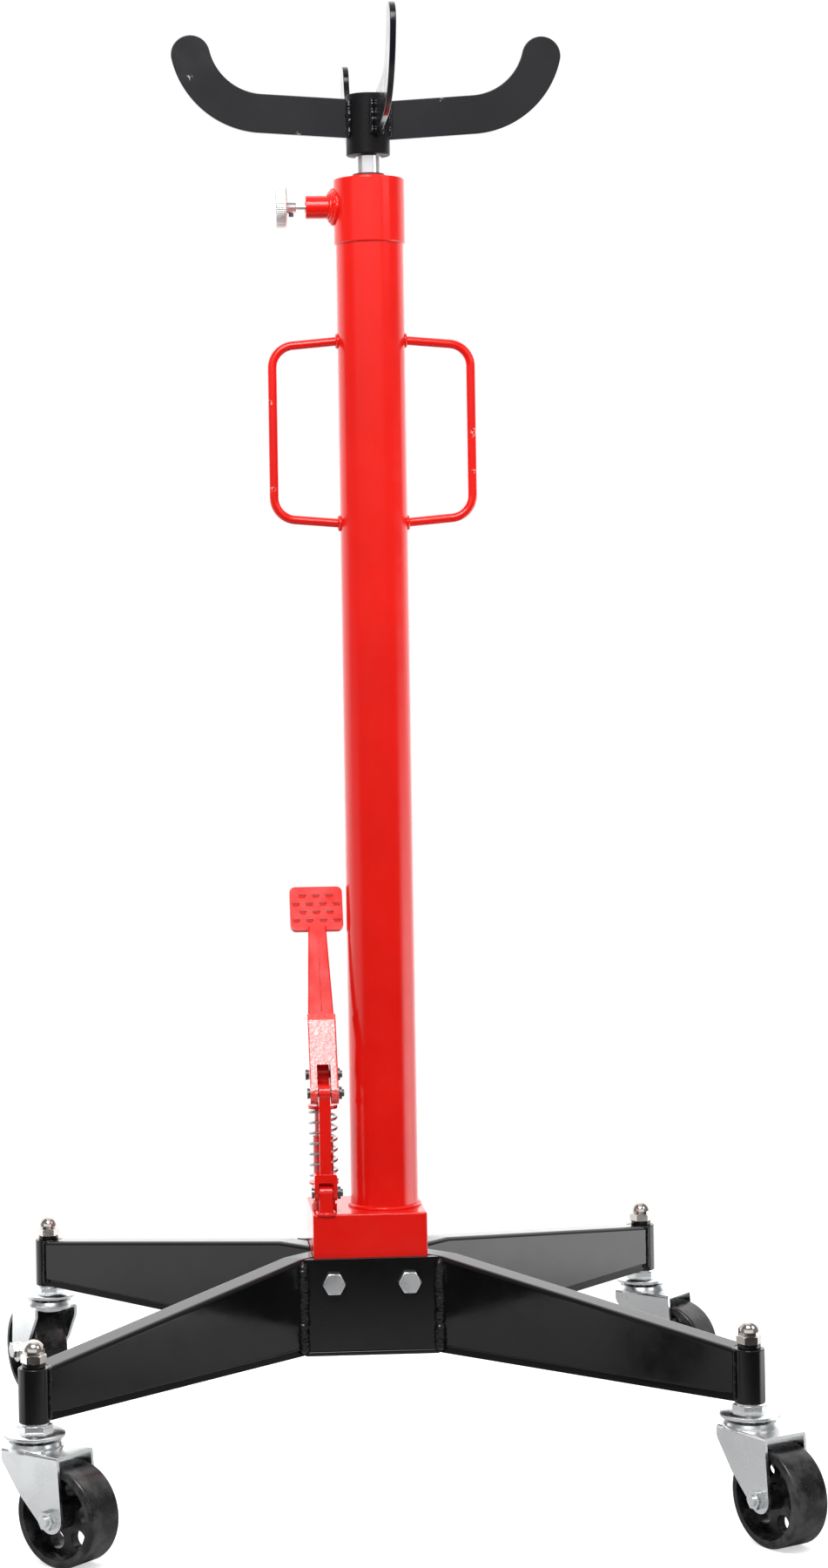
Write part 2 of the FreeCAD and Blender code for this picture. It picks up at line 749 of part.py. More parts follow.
def release_valve():
    """Ball, threaded spindle, knob and its set screw, all on one level axis."""
    ball = doc.addObject("Part::Sphere", "release_ball")
    ball.Label = "release_ball"
    ball.setExpression("Radius", bound("ball_dia / 2"))
    rest = f"({VALVE_SEAT} + ball_dia / 2 * cos(asin(0.55)))"
    place(ball, x=f"-{rest}", z="valve_height")

    spindle = new_body("release_spindle", z="valve_height")
    tip = f"-({rest} + ball_dia / 2 + weld_gap)"
    turned(spindle, [
        (tip, "0"), (tip, "2"), ("-boss_floor + 1", "3"), ("-boss_floor - 0.6", "3"),
        ("-boss_floor - 0.6", "spindle_dia / 2"), ("-boss_end + 1", "spindle_dia / 2"),
        ("-boss_end + 1", "spindle_neck / 2"), ("-knob_far + 3", "spindle_neck / 2"),
        ("-knob_far + 3", "0"),
    ], around="H_Axis")

    knob = new_body("release_knob", z="valve_height")
    bore = "(spindle_neck / 2 + weld_gap / 2)"
    turned(knob, [
        ("-knob_hub_near", bore), ("-knob_hub_near", "knob_hub_dia / 2"),
        ("-knob_near", "knob_hub_dia / 2"), ("-knob_near", "knob_dia / 2"),
        ("-knob_far", "knob_dia / 2"), ("-knob_far", "0"),
        ("-knob_far + 2.9", "0"), ("-knob_far + 2.9", bore),
    ], around="H_Axis")
    wide = size("knob_dia")
    round_edges(knob, "1.6", lambda edge: abs(edge.BoundBox.YLength - wide) < 0.01)
    screw_x = "-(knob_hub_near + knob_near) / 2"
    tapped = new_sketch(knob, "XY_Plane", "tapped_hole")
    circle(tapped, "set_screw_dia + weld_gap", screw_x)
    cut(knob, tapped, "knob_hub_dia", midplane=False)

    screw = new_body("knob_screw", z="valve_height")
    shank = new_sketch(screw, "XY_Plane", "shank", offset=f"-{bore}")
    circle(shank, "set_screw_dia", screw_x)
    pad(screw, shank, "5.5", backwards=True)
    socket = new_sketch(screw, "XY_Plane", "key_socket", offset=f"-{bore} - 5.5")
    hexagon(socket, "2", screw_x)
    cut(screw, socket, "1.6", midplane=False, backwards=True)
    PARTS.extend([ball, spindle, knob, screw])


# ---------------------------------------------------------------- ram and saddle
def ram():
    body = new_body("ram")
    turned(body, [
        ("0", "ram_low"), ("ram_dia / 2 - 2", "ram_low"),
        ("ram_dia / 2 - 2", "ram_low + ring_tall"), ("ram_dia / 2", "ram_low + ring_tall"),
        ("ram_dia / 2", "ram_top - 1"), ("ram_dia / 2 - 1", "ram_top"), ("0", "ram_top"),
    ])
    ring = new_body("ram_guide_ring")
    turned(ring, ring_profile("ring_dia / 2", "ram_dia / 2 - 2 + weld_gap / 2",
                              "ram_low", "ram_low + ring_tall"))
    PARTS.extend([body, ring])


def saddle():
    """A hub with a socket through its top, and four flat bars curved up at their ends."""
    hub = new_body("saddle_hub", turn="saddle_turn")
    web = "ram_top + 0.05"
    turned(hub, [
        ("0", web), ("ram_dia / 2 + running", web), ("ram_dia / 2 + running", "hub_low"),
        ("hub_dia / 2", "hub_low"), ("hub_dia / 2", "hub_top"),
        ("ram_dia / 2 + running", "hub_top"),
        ("ram_dia / 2 + running", f"{web} + hub_web"), ("0", f"{web} + hub_web"),
    ])
    wide = size("hub_dia")
    round_edges(hub, "0.8", lambda edge: abs(edge.BoundBox.YLength - wide) < 0.01)
    PARTS.append(hub)
    for quarter, side in enumerate(("right", "rear", "left", "front")):
        saddle_arm(f"saddle_arm_{side}", f"saddle_turn + {90 * quarter}")


def saddle_arm(name, turn):
    """A bar on edge that slopes up from the hub and curves up to a round tip."""
    body = new_body(name, turn=turn)
    bend_start = "(arm_level + arm_flat * tan(arm_rise))"
    inner_x = "(hub_dia / 2 - 4)"
    inner_z = f"(arm_level + {inner_x} * tan(arm_rise))"
    inner_half = "arm_tall / 2 / cos(arm_rise)"
    lean = "arm_tall / 2 * sin(arm_rise)"
    stand = "arm_tall / 2 * cos(arm_rise)"
    straight = new_sketch(body, "XZ_Plane", "straight", offset="-arm_shift")
    polygon(straight, [
        (inner_x, f"{inner_z} - {inner_half}"), (f"arm_flat + {lean}", f"{bend_start} - {stand}"),
        (f"arm_flat - {lean}", f"{bend_start} + {stand}"),
        (f"{inner_x} + arm_chamfer", f"{inner_z} + {inner_half} + arm_chamfer * tan(arm_rise)"),
        (inner_x, f"{inner_z} + {inner_half} - arm_chamfer"),
    ])
    pad(body, straight, "arm_thick", midplane=True)
    section = new_sketch(body, "YZ_Plane", "section", offset="arm_flat")
    section.AttachmentOffset = Placement(Vector(0, 0, 0), Rotation(Vector(-1, 0, 0), 1))
    section.setExpression("AttachmentOffset.Rotation.Angle", bound("arm_rise"))
    section.setExpression("AttachmentOffset.Base.x", bound("arm_shift"))
    section.setExpression("AttachmentOffset.Base.y", bound(bend_start))
    rectangle(section, "arm_thick", "arm_tall")
    axis = section.addGeometry(Part.LineSegment(Vector(-1, 1, 0), Vector(1, 1, 0)), True)
    pin_point(section, axis, 1, ("-arm_thick", "arm_bend"))
    pin_point(section, axis, 2, ("arm_thick", "arm_bend"))
    curve = body.newObject("PartDesign::Revolution", f"{name}_curve")
    curve.Profile = section
    curve.ReferenceAxis = (section, ["Axis0"])
    curve.Reversed = True
    curve.setExpression("Angle", bound("arm_sweep"))
    doc.recompute()
    tip = new_sketch(body, "XZ_Plane", "tip", offset="-arm_shift")
    circle(tip, "arm_tall",
           "arm_flat + arm_bend * (sin(arm_rise + arm_sweep) - sin(arm_rise))",
           f"{bend_start} + arm_bend * (cos(arm_rise) - cos(arm_rise + arm_sweep))")
    pad(body, tip, "arm_thick", midplane=True)
    notch = new_sketch(body, "XY_Plane", "hub_notch")
    circle(notch, "hub_dia + weld_gap")
    cut(body, notch, "4 * hub_top")
    PARTS.append(body)


OIL_DEPTH = "44"
VALVE_SEAT = "22"
base_block()
column()
handle("handle_right", "0")
handle("handle_left", "180")
valve_boss()
release_valve()
ram()
saddle()


# ---------------------------------------------------------------- pump
def pump():
    """Barrel, plunger and the spring that lifts the plunger and the pedal."""
    barrel = new_body("pump_cylinder", x="pump_side", y="pump_back")
    bore = "(plunger_dia / 2 + running)"
    turned(barrel, [
        ("oil_way / 2", "barrel_low"), ("barrel_dia / 2", "barrel_low"),
        ("barrel_dia / 2", "block_top"), ("flange_dia / 2", "block_top"),
        ("flange_dia / 2", "block_top + flange_tall"),
        ("barrel_dia / 2", "block_top + flange_tall"), ("barrel_dia / 2", "barrel_shoulder"),
        ("barrel_neck / 2", "barrel_shoulder"), ("barrel_neck / 2", "barrel_top"),
        (bore, "barrel_top"), (bore, "barrel_low + oil_way"),
        ("oil_way / 2", "barrel_low + oil_way"),
    ])
    washer = new_body("spring_seat", x="pump_side", y="pump_back")
    turned(washer, ring_profile("spring_dia / 2", "barrel_neck / 2 + weld_gap",
                                "barrel_shoulder", "barrel_shoulder + seat_thick"))

    plunger = new_body("pump_plunger", x="pump_side", y="pump_back")
    groove = "(plunger_dia / 2 - 2.5)"
    turned(plunger, [
        ("0", "plunger_low"), (groove, "plunger_low"),
        (groove, "plunger_low + seal_tall"), ("plunger_dia / 2", "plunger_low + seal_tall"),
        ("plunger_dia / 2", "spring_top"), ("spring_dia / 2", "spring_top"),
        ("spring_dia / 2", "spring_top + cap_thick"), ("0", "spring_top + cap_thick"),
    ])
    tongue = new_sketch(plunger, "YZ_Plane", "tongue")
    polygon(tongue, [
        ("-head_deep / 2", "spring_top + 1"), ("head_deep / 2", "spring_top + 1"),
        ("head_deep / 2", "head_top - head_deep / 2"),
        ("-head_deep / 2", "head_top - head_deep / 2"),
    ])
    pad(plunger, tongue, "head_wide", midplane=True)
    crown = new_sketch(plunger, "YZ_Plane", "crown")
    circle(crown, "head_deep", "0", "head_top - head_deep / 2")
    pad(plunger, crown, "head_wide", midplane=True)
    pin_height = "(link_pivot + lever_rise)"
    slot = new_sketch(plunger, "YZ_Plane", "pin_slot")
    rectangle(slot, "2 * pin_slack", "pin_dia + 1", "0", pin_height)
    cut(plunger, slot, "2 * head_wide")
    for end in (-1, 1):
        round_end = new_sketch(plunger, "YZ_Plane", "slot_end")
        circle(round_end, "pin_dia + 1", f"{end} * pin_slack", pin_height)
        cut(plunger, round_end, "2 * head_wide")

    seal = new_body("plunger_seal", x="pump_side", y="pump_back")
    turned(seal, ring_profile("plunger_dia / 2", f"{groove} + weld_gap / 2",
                              "plunger_low", "plunger_low + seal_tall - 0.2"))
    PARTS.extend([barrel, washer, plunger, seal, return_spring(), check_balls()])


def return_spring():
    """One round wire swept along a helix between the seat and the plunger's cap."""
    rise = "spring_top - barrel_shoulder - seat_thick - spring_wire - 0.1"
    path = doc.addObject("Part::Helix", "spring_path")
    path.setExpression("Radius", bound("(spring_dia - spring_wire) / 2"))
    path.setExpression("Pitch", bound("spring_pitch"))
    path.setExpression("Height", bound(rise))
    wire = doc.addObject("Part::Circle", "spring_wire_section")
    wire.setExpression("Radius", bound("spring_wire / 2"))
    wire.Placement = Placement(Vector(0, 0, 0), Rotation(X_AXIS, 90))
    wire.setExpression("Placement.Base.x", bound("(spring_dia - spring_wire) / 2"))
    spring = doc.addObject("Part::Sweep", "return_spring")
    spring.Label = "return_spring"
    spring.Sections = [wire]
    spring.Spine = (path, [])
    spring.Solid = True
    spring.Frenet = True
    place(spring, "pump_side", "pump_back",
          "barrel_shoulder + seat_thick + spring_wire / 2 + 0.05")
    return spring


def check_balls():
    """Inlet and outlet balls in the block's oil ways."""
    balls = []
    for name, x, y in (("inlet_ball", "pump_side", "pump_back"), ("outlet_ball", "0", "0")):
        ball = doc.addObject("Part::Sphere", name)
        ball.setExpression("Radius", bound("oil_way / 2 - 0.3"))
        place(ball, x, y, "block_top - 26")
        balls.append(ball)
    return group("check_balls", balls)


# ---------------------------------------------------------------- pedal linkage
def pump_lug():
    """The ear on the block that carries the foot of the link, and its pin."""
    body = new_body("pump_lug", x="pump_side", y="link_front")
    stand = new_sketch(body, "YZ_Plane", "stand")
    polygon(stand, [("-lug_deep / 2", "block_top"), ("lug_deep / 2", "block_top"),
                    ("lug_deep / 2", "lug_pivot"), ("-lug_deep / 2", "lug_pivot")])
    pad(body, stand, "lug_wide", midplane=True)
    eye = new_sketch(body, "YZ_Plane", "eye")
    circle(eye, "lug_deep", "0", "lug_pivot")
    pad(body, eye, "lug_wide", midplane=True)
    hole = new_sketch(body, "YZ_Plane", "hole")
    circle(hole, "pin_dia + weld_gap", "0", "lug_pivot")
    cut(body, hole, "2 * lug_wide")
    PARTS.append(body)
    pin = cross_pin("lug_pin_shank", "link_front", "lug_pivot", "fork_wide")
    clip = pin_clip("lug_pin_clip", "link_front", "lug_pivot", "fork_wide")
    PARTS.append(group("lug_pin", [pin, clip]))


def cross_pin(name, y, z, across):
    """A headed pin through a joint of the linkage, head on the left."""
    body = new_body(name, x="pump_side", y=y, z=z)
    shank = new_sketch(body, "YZ_Plane", "shank", offset=f"-({across}) / 2 - 0.2")
    circle(shank, "pin_dia")
    pad(body, shank, f"({across}) + 5")
    head = new_sketch(body, "YZ_Plane", "head", offset=f"-({across}) / 2 - 0.2")
    circle(head, "pin_dia + 2.6")
    pad(body, head, "2", backwards=True)
    return body


def pin_clip(name, y, z, across):
    """The split pin's ring that holds a pin on its right."""
    body = new_body(name, x="pump_side", y=y, z=z)
    ring = new_sketch(body, "YZ_Plane", "ring", offset=f"({across}) / 2 + 0.6")
    circle(ring, "pin_dia + 4.4")
    circle(ring, "pin_dia + 0.1")
    pad(body, ring, "2.2")
    return body


def pump_link():
    """Fork at the foot, bar, and an eye at the head."""
    body = new_body("pump_link", x="pump_side", y="link_front")
    fork = new_sketch(body, "YZ_Plane", "fork")
    polygon(fork, [("-fork_deep / 2", "lug_pivot"), ("fork_deep / 2", "lug_pivot"),
                   ("fork_deep / 2", "fork_top"), ("-fork_deep / 2", "fork_top")])
    pad(body, fork, "fork_wide", midplane=True)
    foot = new_sketch(body, "YZ_Plane", "foot")
    circle(foot, "fork_deep", "0", "lug_pivot")
    pad(body, foot, "fork_wide", midplane=True)
    round_edges(body, "2", lambda edge: along(edge, Y_AXIS)
                and abs(edge.CenterOfMass.z - size("fork_top")) < 0.01)
    gap = new_sketch(body, "YZ_Plane", "gap")
    rectangle(gap, "2 * fork_deep", "2 * (fork_top - fork_wall * 2 - lug_pivot)", "0", "lug_pivot")
    cut(body, gap, "fork_wide - 2 * fork_wall")
    bar = new_sketch(body, "YZ_Plane", "bar")
    rectangle(bar, "link_deep", "link_pivot - fork_top + fork_wall", "0",
              "(link_pivot + fork_top - fork_wall) / 2")
    pad(body, bar, "link_wide", midplane=True)
    eye = new_sketch(body, "YZ_Plane", "eye")
    circle(eye, "link_eye", "0", "link_pivot")
    pad(body, eye, "link_wide", midplane=True)
    holes = new_sketch(body, "YZ_Plane", "holes")
    for height in ("lug_pivot", "link_pivot"):
        circle(holes, "pin_dia + 2 * running", "0", height)
    cut(body, holes, "2 * fork_wide")
    PARTS.append(body)


PIN_BACK = "(lever_back * cos(lever_lean) - lever_rise * sin(lever_lean))"
PIN_UP = "(lever_back * sin(lever_lean) + lever_rise * cos(lever_lean))"


def lean_back(body):
    """Put a piece drawn along the lever's own axis at the link pivot, leaning back."""
    body.Placement = Placement(Vector(0, 0, 0), Rotation(Vector(-1, 0, 0), 1))
    for axis, formula in zip("xyz", ("pump_side", "link_front", "link_pivot")):
        body.setExpression(f"Placement.Base.{axis}", bound(formula))
    body.setExpression("Placement.Rotation.Angle", bound("lever_lean"))


def lever_socket():
    """The lever's root: two cheeks around the link and the plunger, drawn upright."""
    body = new_body("lever_socket")
    side = new_sketch(body, "YZ_Plane", "side")
    polygon(side, [
        ("-socket_round", "0"), ("-socket_round", "socket_long - 6"),
        ("-socket_round + 3", "socket_long"), ("socket_round - 2", "socket_long"),
        ("socket_round - 1", f"{PIN_UP} + 24"), (f"{PIN_BACK} + 7.8", f"{PIN_UP} + 3"),
        (f"{PIN_BACK} + 4", f"{PIN_UP} - 7.2"), ("4", "-socket_round + 1"),
    ])
    pad(body, side, "socket_wide", midplane=True)
    front = -size("socket_round")
    round_edges(body, "1.4", lambda edge: along(edge, Z_AXIS)
                and abs(edge.CenterOfMass.y - front) < 0.01)
    for back, up, round_size in (("0", "0", "2 * socket_round"),
                                 (PIN_BACK, PIN_UP, "2 * socket_round - 1.2")):
        lobe = new_sketch(body, "YZ_Plane", "lobe")
        circle(lobe, round_size, back, up)
        pad(body, lobe, "socket_wide", midplane=True)
    slot = new_sketch(body, "YZ_Plane", "slot")
    polygon(slot, [
        ("-socket_round - 3", "-socket_round - 3"), ("-socket_round - 3", "19"),
        ("4", f"{PIN_UP} + 14"), (f"{PIN_BACK} + 12", f"{PIN_UP} + 14"),
        (f"{PIN_BACK} + 12", "-socket_round - 3"),
    ])
    cut(body, slot, "slot_wide")
    holes = new_sketch(body, "YZ_Plane", "holes")
    circle(holes, "pin_dia + weld_gap")
    circle(holes, "pin_dia + weld_gap", PIN_BACK, PIN_UP)
    cut(body, holes, "2 * socket_wide")
    lean_back(body)
    PARTS.append(body)


def pedal_arm():
    """A tapered plate and the tread plate at its end, with staggered slots."""
    body = new_body("pedal_arm")
    arm = new_sketch(body, "XZ_Plane", "arm")
    polygon(arm, [("-arm_root / 2", "socket_long"), ("arm_root / 2", "socket_long"),
                  ("arm_neck / 2", "pad_low + 3"), ("-arm_neck / 2", "pad_low + 3")])
    pad(body, arm, "arm_plate", midplane=True)
    round_edges(body, "1.2", lambda edge: edge.BoundBox.ZLength > 20)
    tread = new_sketch(body, "XZ_Plane", "tread")
    rectangle(tread, "pad_wide", "pad_tall", "0", "pad_low + pad_tall / 2")
    pad(body, tread, "pad_thick", midplane=True)
    half = size("pad_wide") / 2
    round_edges(body, "pad_round", lambda edge: along(edge, Y_AXIS)
                and abs(abs(edge.CenterOfMass.x) - half) < 0.01)
    slots = new_sketch(body, "XZ_Plane", "slots")
    for line in range(4):
        across = 3 + line % 2
        height = f"pad_low + pad_tall / 2 + {1.5 - line} * tread_row"
        for place_in_row in range(across):
            x = f"{place_in_row - (across - 1) / 2} * tread_pitch"
            rectangle(slots, "tread_wide", "tread_tall", x, height)
    cut(body, slots, "4 * pad_thick")
    lean_back(body)
    PARTS.append(body)


def lever_pins():
    """The pins on the link and on the plunger, and their clips."""
    places = (("link", "link_front", "link_pivot"),
              ("plunger", "link_front + lever_back", "link_pivot + lever_rise"))
    pins = []
    clips = []
    for name, y, z in places:
        pins.append(cross_pin(f"{name}_pin", y, z, "socket_wide"))
        clips.append(pin_clip(f"{name}_clip", y, z, "socket_wide"))
    PARTS.append(group("lever_pins", pins + clips))


pump()
pump_lug()
pump_link()
lever_socket()
pedal_arm()
lever_pins()


# ---------------------------------------------------------------- casters
def caster_stems():
    """Fixed half of each caster: stem, hex, upper disc and the neck under it."""
    body = new_body("stem", x=stem_x(-1), y=stem_y(-1))
    flange_low = "yoke_top - yoke_thick - 3"
    turned(body, [
        ("0", flange_low), ("stem_flange / 2", flange_low),
        ("stem_flange / 2", "yoke_top - yoke_thick - 0.3"),
        ("neck_dia / 2", "yoke_top - yoke_thick - 0.3"), ("neck_dia / 2", "disc_low"),
        ("12", "disc_low"), ("12", "disc_low + 2.6"), ("17", "disc_low + 2.6"),
        ("17", "disc_low"), ("disc_dia / 2 - 1", "disc_low"),
        ("disc_dia / 2", "disc_low + 1"), ("disc_dia / 2", "disc_low + 2.6"),
        ("disc_dia / 2 - 2", "disc_top - 1"), ("disc_dia / 2 - 8", "disc_top"),
        ("stem_dia / 2", "disc_top"), ("stem_dia / 2", "cap_top - 8"), ("0", "cap_top - 8"),
    ])
    hexed = new_sketch(body, "XY_Plane", "hex", offset="disc_top")
    hexagon(hexed, "stem_hex")
    pad(body, hexed, "sleeve_low - disc_top - 1.5")
    washer = new_sketch(body, "XY_Plane", "washer", offset="sleeve_low - 1.5")
    circle(washer, "sleeve_dia - 1.6")
    pad(body, washer, "1.45")
    at_corners(body, "caster_stems")


def cap_nuts():
    spacer = new_body("spacer", x=stem_x(-1), y=stem_y(-1))
    turned(spacer, ring_profile("spacer_dia / 2", "stem_dia / 2 + weld_gap / 2",
                                "sleeve_top", "sleeve_top + spacer_tall"))
    at_corners(spacer, "cap_spacers")

    nut = new_body("cap_nut", x=stem_x(-1), y=stem_y(-1))
    hexed = new_sketch(nut, "XY_Plane", "hex", offset="sleeve_top + spacer_tall")
    hexagon(hexed, "cap_across")
    pad(nut, hexed, "cap_hex_tall")
    crown_corners(nut, "XZ_Plane", "cap_across", "sleeve_top + spacer_tall + cap_hex_tall", -1)
    dome = new_sketch(nut, "XY_Plane", "dome", offset="sleeve_top + spacer_tall")
    circle(dome, "cap_dome")
    pad(nut, dome, "cap_top - sleeve_top - spacer_tall")
    high = size("cap_top")
    round_edges(nut, "cap_dome / 2 - 0.1", lambda edge: abs(edge.BoundBox.ZMin - high) < 0.01)
    bore = new_sketch(nut, "XY_Plane", "bore", offset="cap_top - 7.9")
    circle(bore, "stem_dia + weld_gap")
    cut(nut, bore, "20", midplane=False)
    at_corners(nut, "cap_nuts")


def swivel_balls():
    """A ring of balls between each upper disc and its yoke."""
    ball = doc.addObject("Part::Sphere", "swivel_ball")
    ball.setExpression("Radius", "2.4")
    circle_r, count = 14.5, 12
    height = "(dome_top - 1.9 + disc_low + 2.6) / 2"
    place(ball, f"{stem_x(-1)} + {circle_r}", stem_y(-1), height)
    balls = []
    for corner, side, depth in CORNERS:
        for step in range(count):
            angle = 360 / count * step
            if not balls:
                balls.append(ball)
                continue
            balls.append(copy_at(ball, f"swivel_ball_{corner}_{step}",
                                 f"{stem_x(side)} + {circle_r} * cos({angle})",
                                 f"{stem_y(depth)} + {circle_r} * sin({angle})", height))
    PARTS.append(group("swivel_balls", balls))


def yoke(corner, side, depth, heading):
    """The swivelling fork; its own +X points the way the wheel trails."""
    body = new_body(f"yoke_{corner}", x=stem_x(side), y=stem_y(depth), turn=heading)
    hole = "(neck_dia / 2 + running)"
    plate_low = "(yoke_top - yoke_thick)"
    turned(body, [
        (hole, plate_low), ("dome_dia / 2", plate_low), ("dome_dia / 2", "yoke_top + 0.6"),
        ("dome_dia / 2 - 1.5", "dome_top - 1.4"), ("dome_dia / 2 - 4.5", "dome_top"),
        ("17", "dome_top"), ("17", "dome_top - 1.9"), ("12", "dome_top - 1.9"),
        ("12", "dome_top"), (hole, "dome_top"),
    ])
    sides = new_sketch(body, "XZ_Plane", "sides")
    polygon(sides, [
        ("-yoke_front", "yoke_top"), ("-yoke_front", "yoke_top - 9"),
        ("yoke_knee", "yoke_top - 32"),
        ("trail - yoke_foot * 0.69", "wheel_dia / 2 - yoke_foot * 0.72"),
        ("trail", "wheel_dia / 2"), ("trail + yoke_foot", "wheel_dia / 2"),
        ("yoke_rear", "yoke_top"),
    ])
    pad(body, sides, "yoke_wide", midplane=True)
    foot = new_sketch(body, "XZ_Plane", "foot")
    circle(foot, "2 * yoke_foot", "trail", "wheel_dia / 2")
    pad(body, foot, "yoke_wide", midplane=True)
    high = size("yoke_top")
    wide = size("yoke_wide") / 2
    round_edges(body, "8", lambda edge: along(edge, Y_AXIS) and edge.Length > 2 * wide - 0.1
                and edge.CenterOfMass.x < size("yoke_knee") + 0.1
                and high - 33 < edge.CenterOfMass.z < high - 8)
    round_edges(body, "2.4", lambda edge: along(edge, X_AXIS)
                and abs(edge.CenterOfMass.z - high) < 0.01
                and abs(abs(edge.CenterOfMass.y) - wide) < 0.01)
    inside = new_sketch(body, "XZ_Plane", "inside")
    polygon(inside, [("-2 * yoke_front", "0"), ("2 * yoke_rear", "0"),
                     ("2 * yoke_rear", plate_low), ("-2 * yoke_front", plate_low)])
    cut(body, inside, "yoke_wide - 2 * yoke_thick")
    neck = new_sketch(body, "XY_Plane", "neck_hole")
    circle(neck, f"2 * {hole}")
    cut(body, neck, "4 * yoke_top")
    axle = new_sketch(body, "XZ_Plane", "axle_hole")
    circle(axle, "axle_dia + weld_gap", "trail", "wheel_dia / 2")
    cut(body, axle, "2 * yoke_wide")
    PARTS.append(body)


def wheel_place(side, depth, heading):
    """Formulas for the middle of a wheel."""
    return {
        "x": f"{stem_x(side)} + trail * cos({heading})",
        "y": f"{stem_y(depth)} + trail * sin({heading})",
        "z": "wheel_dia / 2",
        "turn": heading,
    }


def wheel(corner, side, depth, heading):
    """A cast wheel with a recessed web and a ring of holes in it."""
    spot = wheel_place(side, depth, heading)
    if corner == "front_right":
        spot["turn"] = f"{heading} + 180"       # fitted the other way round
    body = new_body(f"wheel_{corner}", **spot)
    bore = "(axle_dia / 2 + running)"
    turned(body, [
        (bore, "-hub_wide / 2"), ("wheel_hub / 2", "-hub_wide / 2"),
        ("wheel_hub / 2 + 1", "-web_thick / 2"), ("recess_dia / 2 - 1.5", "-web_thick / 2"),
        ("recess_dia / 2", "-wheel_wide / 2"), ("wheel_dia / 2", "-wheel_wide / 2"),
        ("wheel_dia / 2", "wheel_wide / 2"), ("recess_dia / 2", "wheel_wide / 2"),
        ("recess_dia / 2 - 1.5", "web_thick / 2"), ("wheel_hub / 2 + 1", "web_thick / 2"),
        ("wheel_hub / 2", "hub_wide / 2"), (bore, "hub_wide / 2"),
    ], plane="XY_Plane")
    rim = size("wheel_dia")
    round_edges(body, "wheel_round", lambda edge: abs(edge.BoundBox.ZLength - rim) < 0.01)
    hole = new_sketch(body, "XZ_Plane", "web_hole")
    circle(hole, "hole_dia", "hole_circle / 2 * cos(hole_phase)",
           "hole_circle / 2 * sin(hole_phase)")
    first = cut(body, hole, "2 * wheel_wide")
    before = body.Shape.Volume
    ring = body.newObject("PartDesign::PolarPattern", f"wheel_{corner}_holes")
    ring.Originals = [first]
    ring.Axis = (hole, ["N_Axis"])
    ring.Angle = 360
    ring.Occurrences = 6
    body.Tip = ring
    doc.recompute()
    if body.Shape.Volume > before - 1:
        raise RuntimeError("wheel holes missing")
    PARTS.append(body)


def axle(corner, side, depth, heading):
    """Axle bolt with its nut on the other side of the yoke."""
    spot = wheel_place(side, depth, heading)
    bolt = new_body(f"axle_bolt_{corner}", **spot)
    shank = new_sketch(bolt, "XZ_Plane", "shank", offset="-yoke_wide / 2 - weld_gap")
    circle(shank, "axle_dia")
    pad(bolt, shank, "yoke_wide + 8.5")
    head = new_sketch(bolt, "XZ_Plane", "head", offset="-yoke_wide / 2 - weld_gap")
    hexagon(head, "axle_across")
    pad(bolt, head, "5", backwards=True)
    nut = new_body(f"axle_nut_{corner}", **spot)
    ring = new_sketch(nut, "XZ_Plane", "ring", offset="yoke_wide / 2 + weld_gap")
    hexagon(ring, "axle_across")
    circle(ring, "axle_dia + weld_gap")
    pad(nut, ring, "6")
    PARTS.append(group(f"axle_{corner}", [bolt, nut]))


caster_stems()
cap_nuts()
swivel_balls()
# The way each wheel trails at rest, in degrees from +X.
HEADINGS = {"front_left": "-41", "front_right": "-61", "rear_left": "113", "rear_right": "-41"}
for corner_name, corner_side, corner_depth in CORNERS:
    spot = (corner_name, corner_side, corner_depth, HEADINGS[corner_name])
    yoke(*spot)
    wheel(*spot)
    axle(*spot)


# ---------------------------------------------------------------- write the pieces
doc.recompute()
for item in doc.Objects:
    if "Invalid" in item.State or "Error" in item.State:
        raise RuntimeError(f"{item.Name}: {item.State}")
labels = [part.Label for part in PARTS]
if len(set(labels)) != len(labels):
    raise RuntimeError("two pieces share a label")
for part in PARTS:
    if part.Shape.isNull() or not part.Shape.isValid():
        raise RuntimeError(f"{part.Label}: bad shape")
os.makedirs("parts", exist_ok=True)
for part in PARTS:
    part.Shape.exportStep(f"parts/{part.Label}.step")
    print(f"{part.Label:24s} {len(part.Shape.Solids):3d} solids {part.Shape.Volume / 1000:9.2f} cm3")
print(len(PARTS), "pieces")
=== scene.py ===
# Looks of a foot-pumped vertical transmission jack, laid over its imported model.
# Metres, +Z up, origin on the floor under the ram's axis, pedal side towards -Y.
import math

import bmesh
import bpy
from mathutils import Matrix, Vector, noise


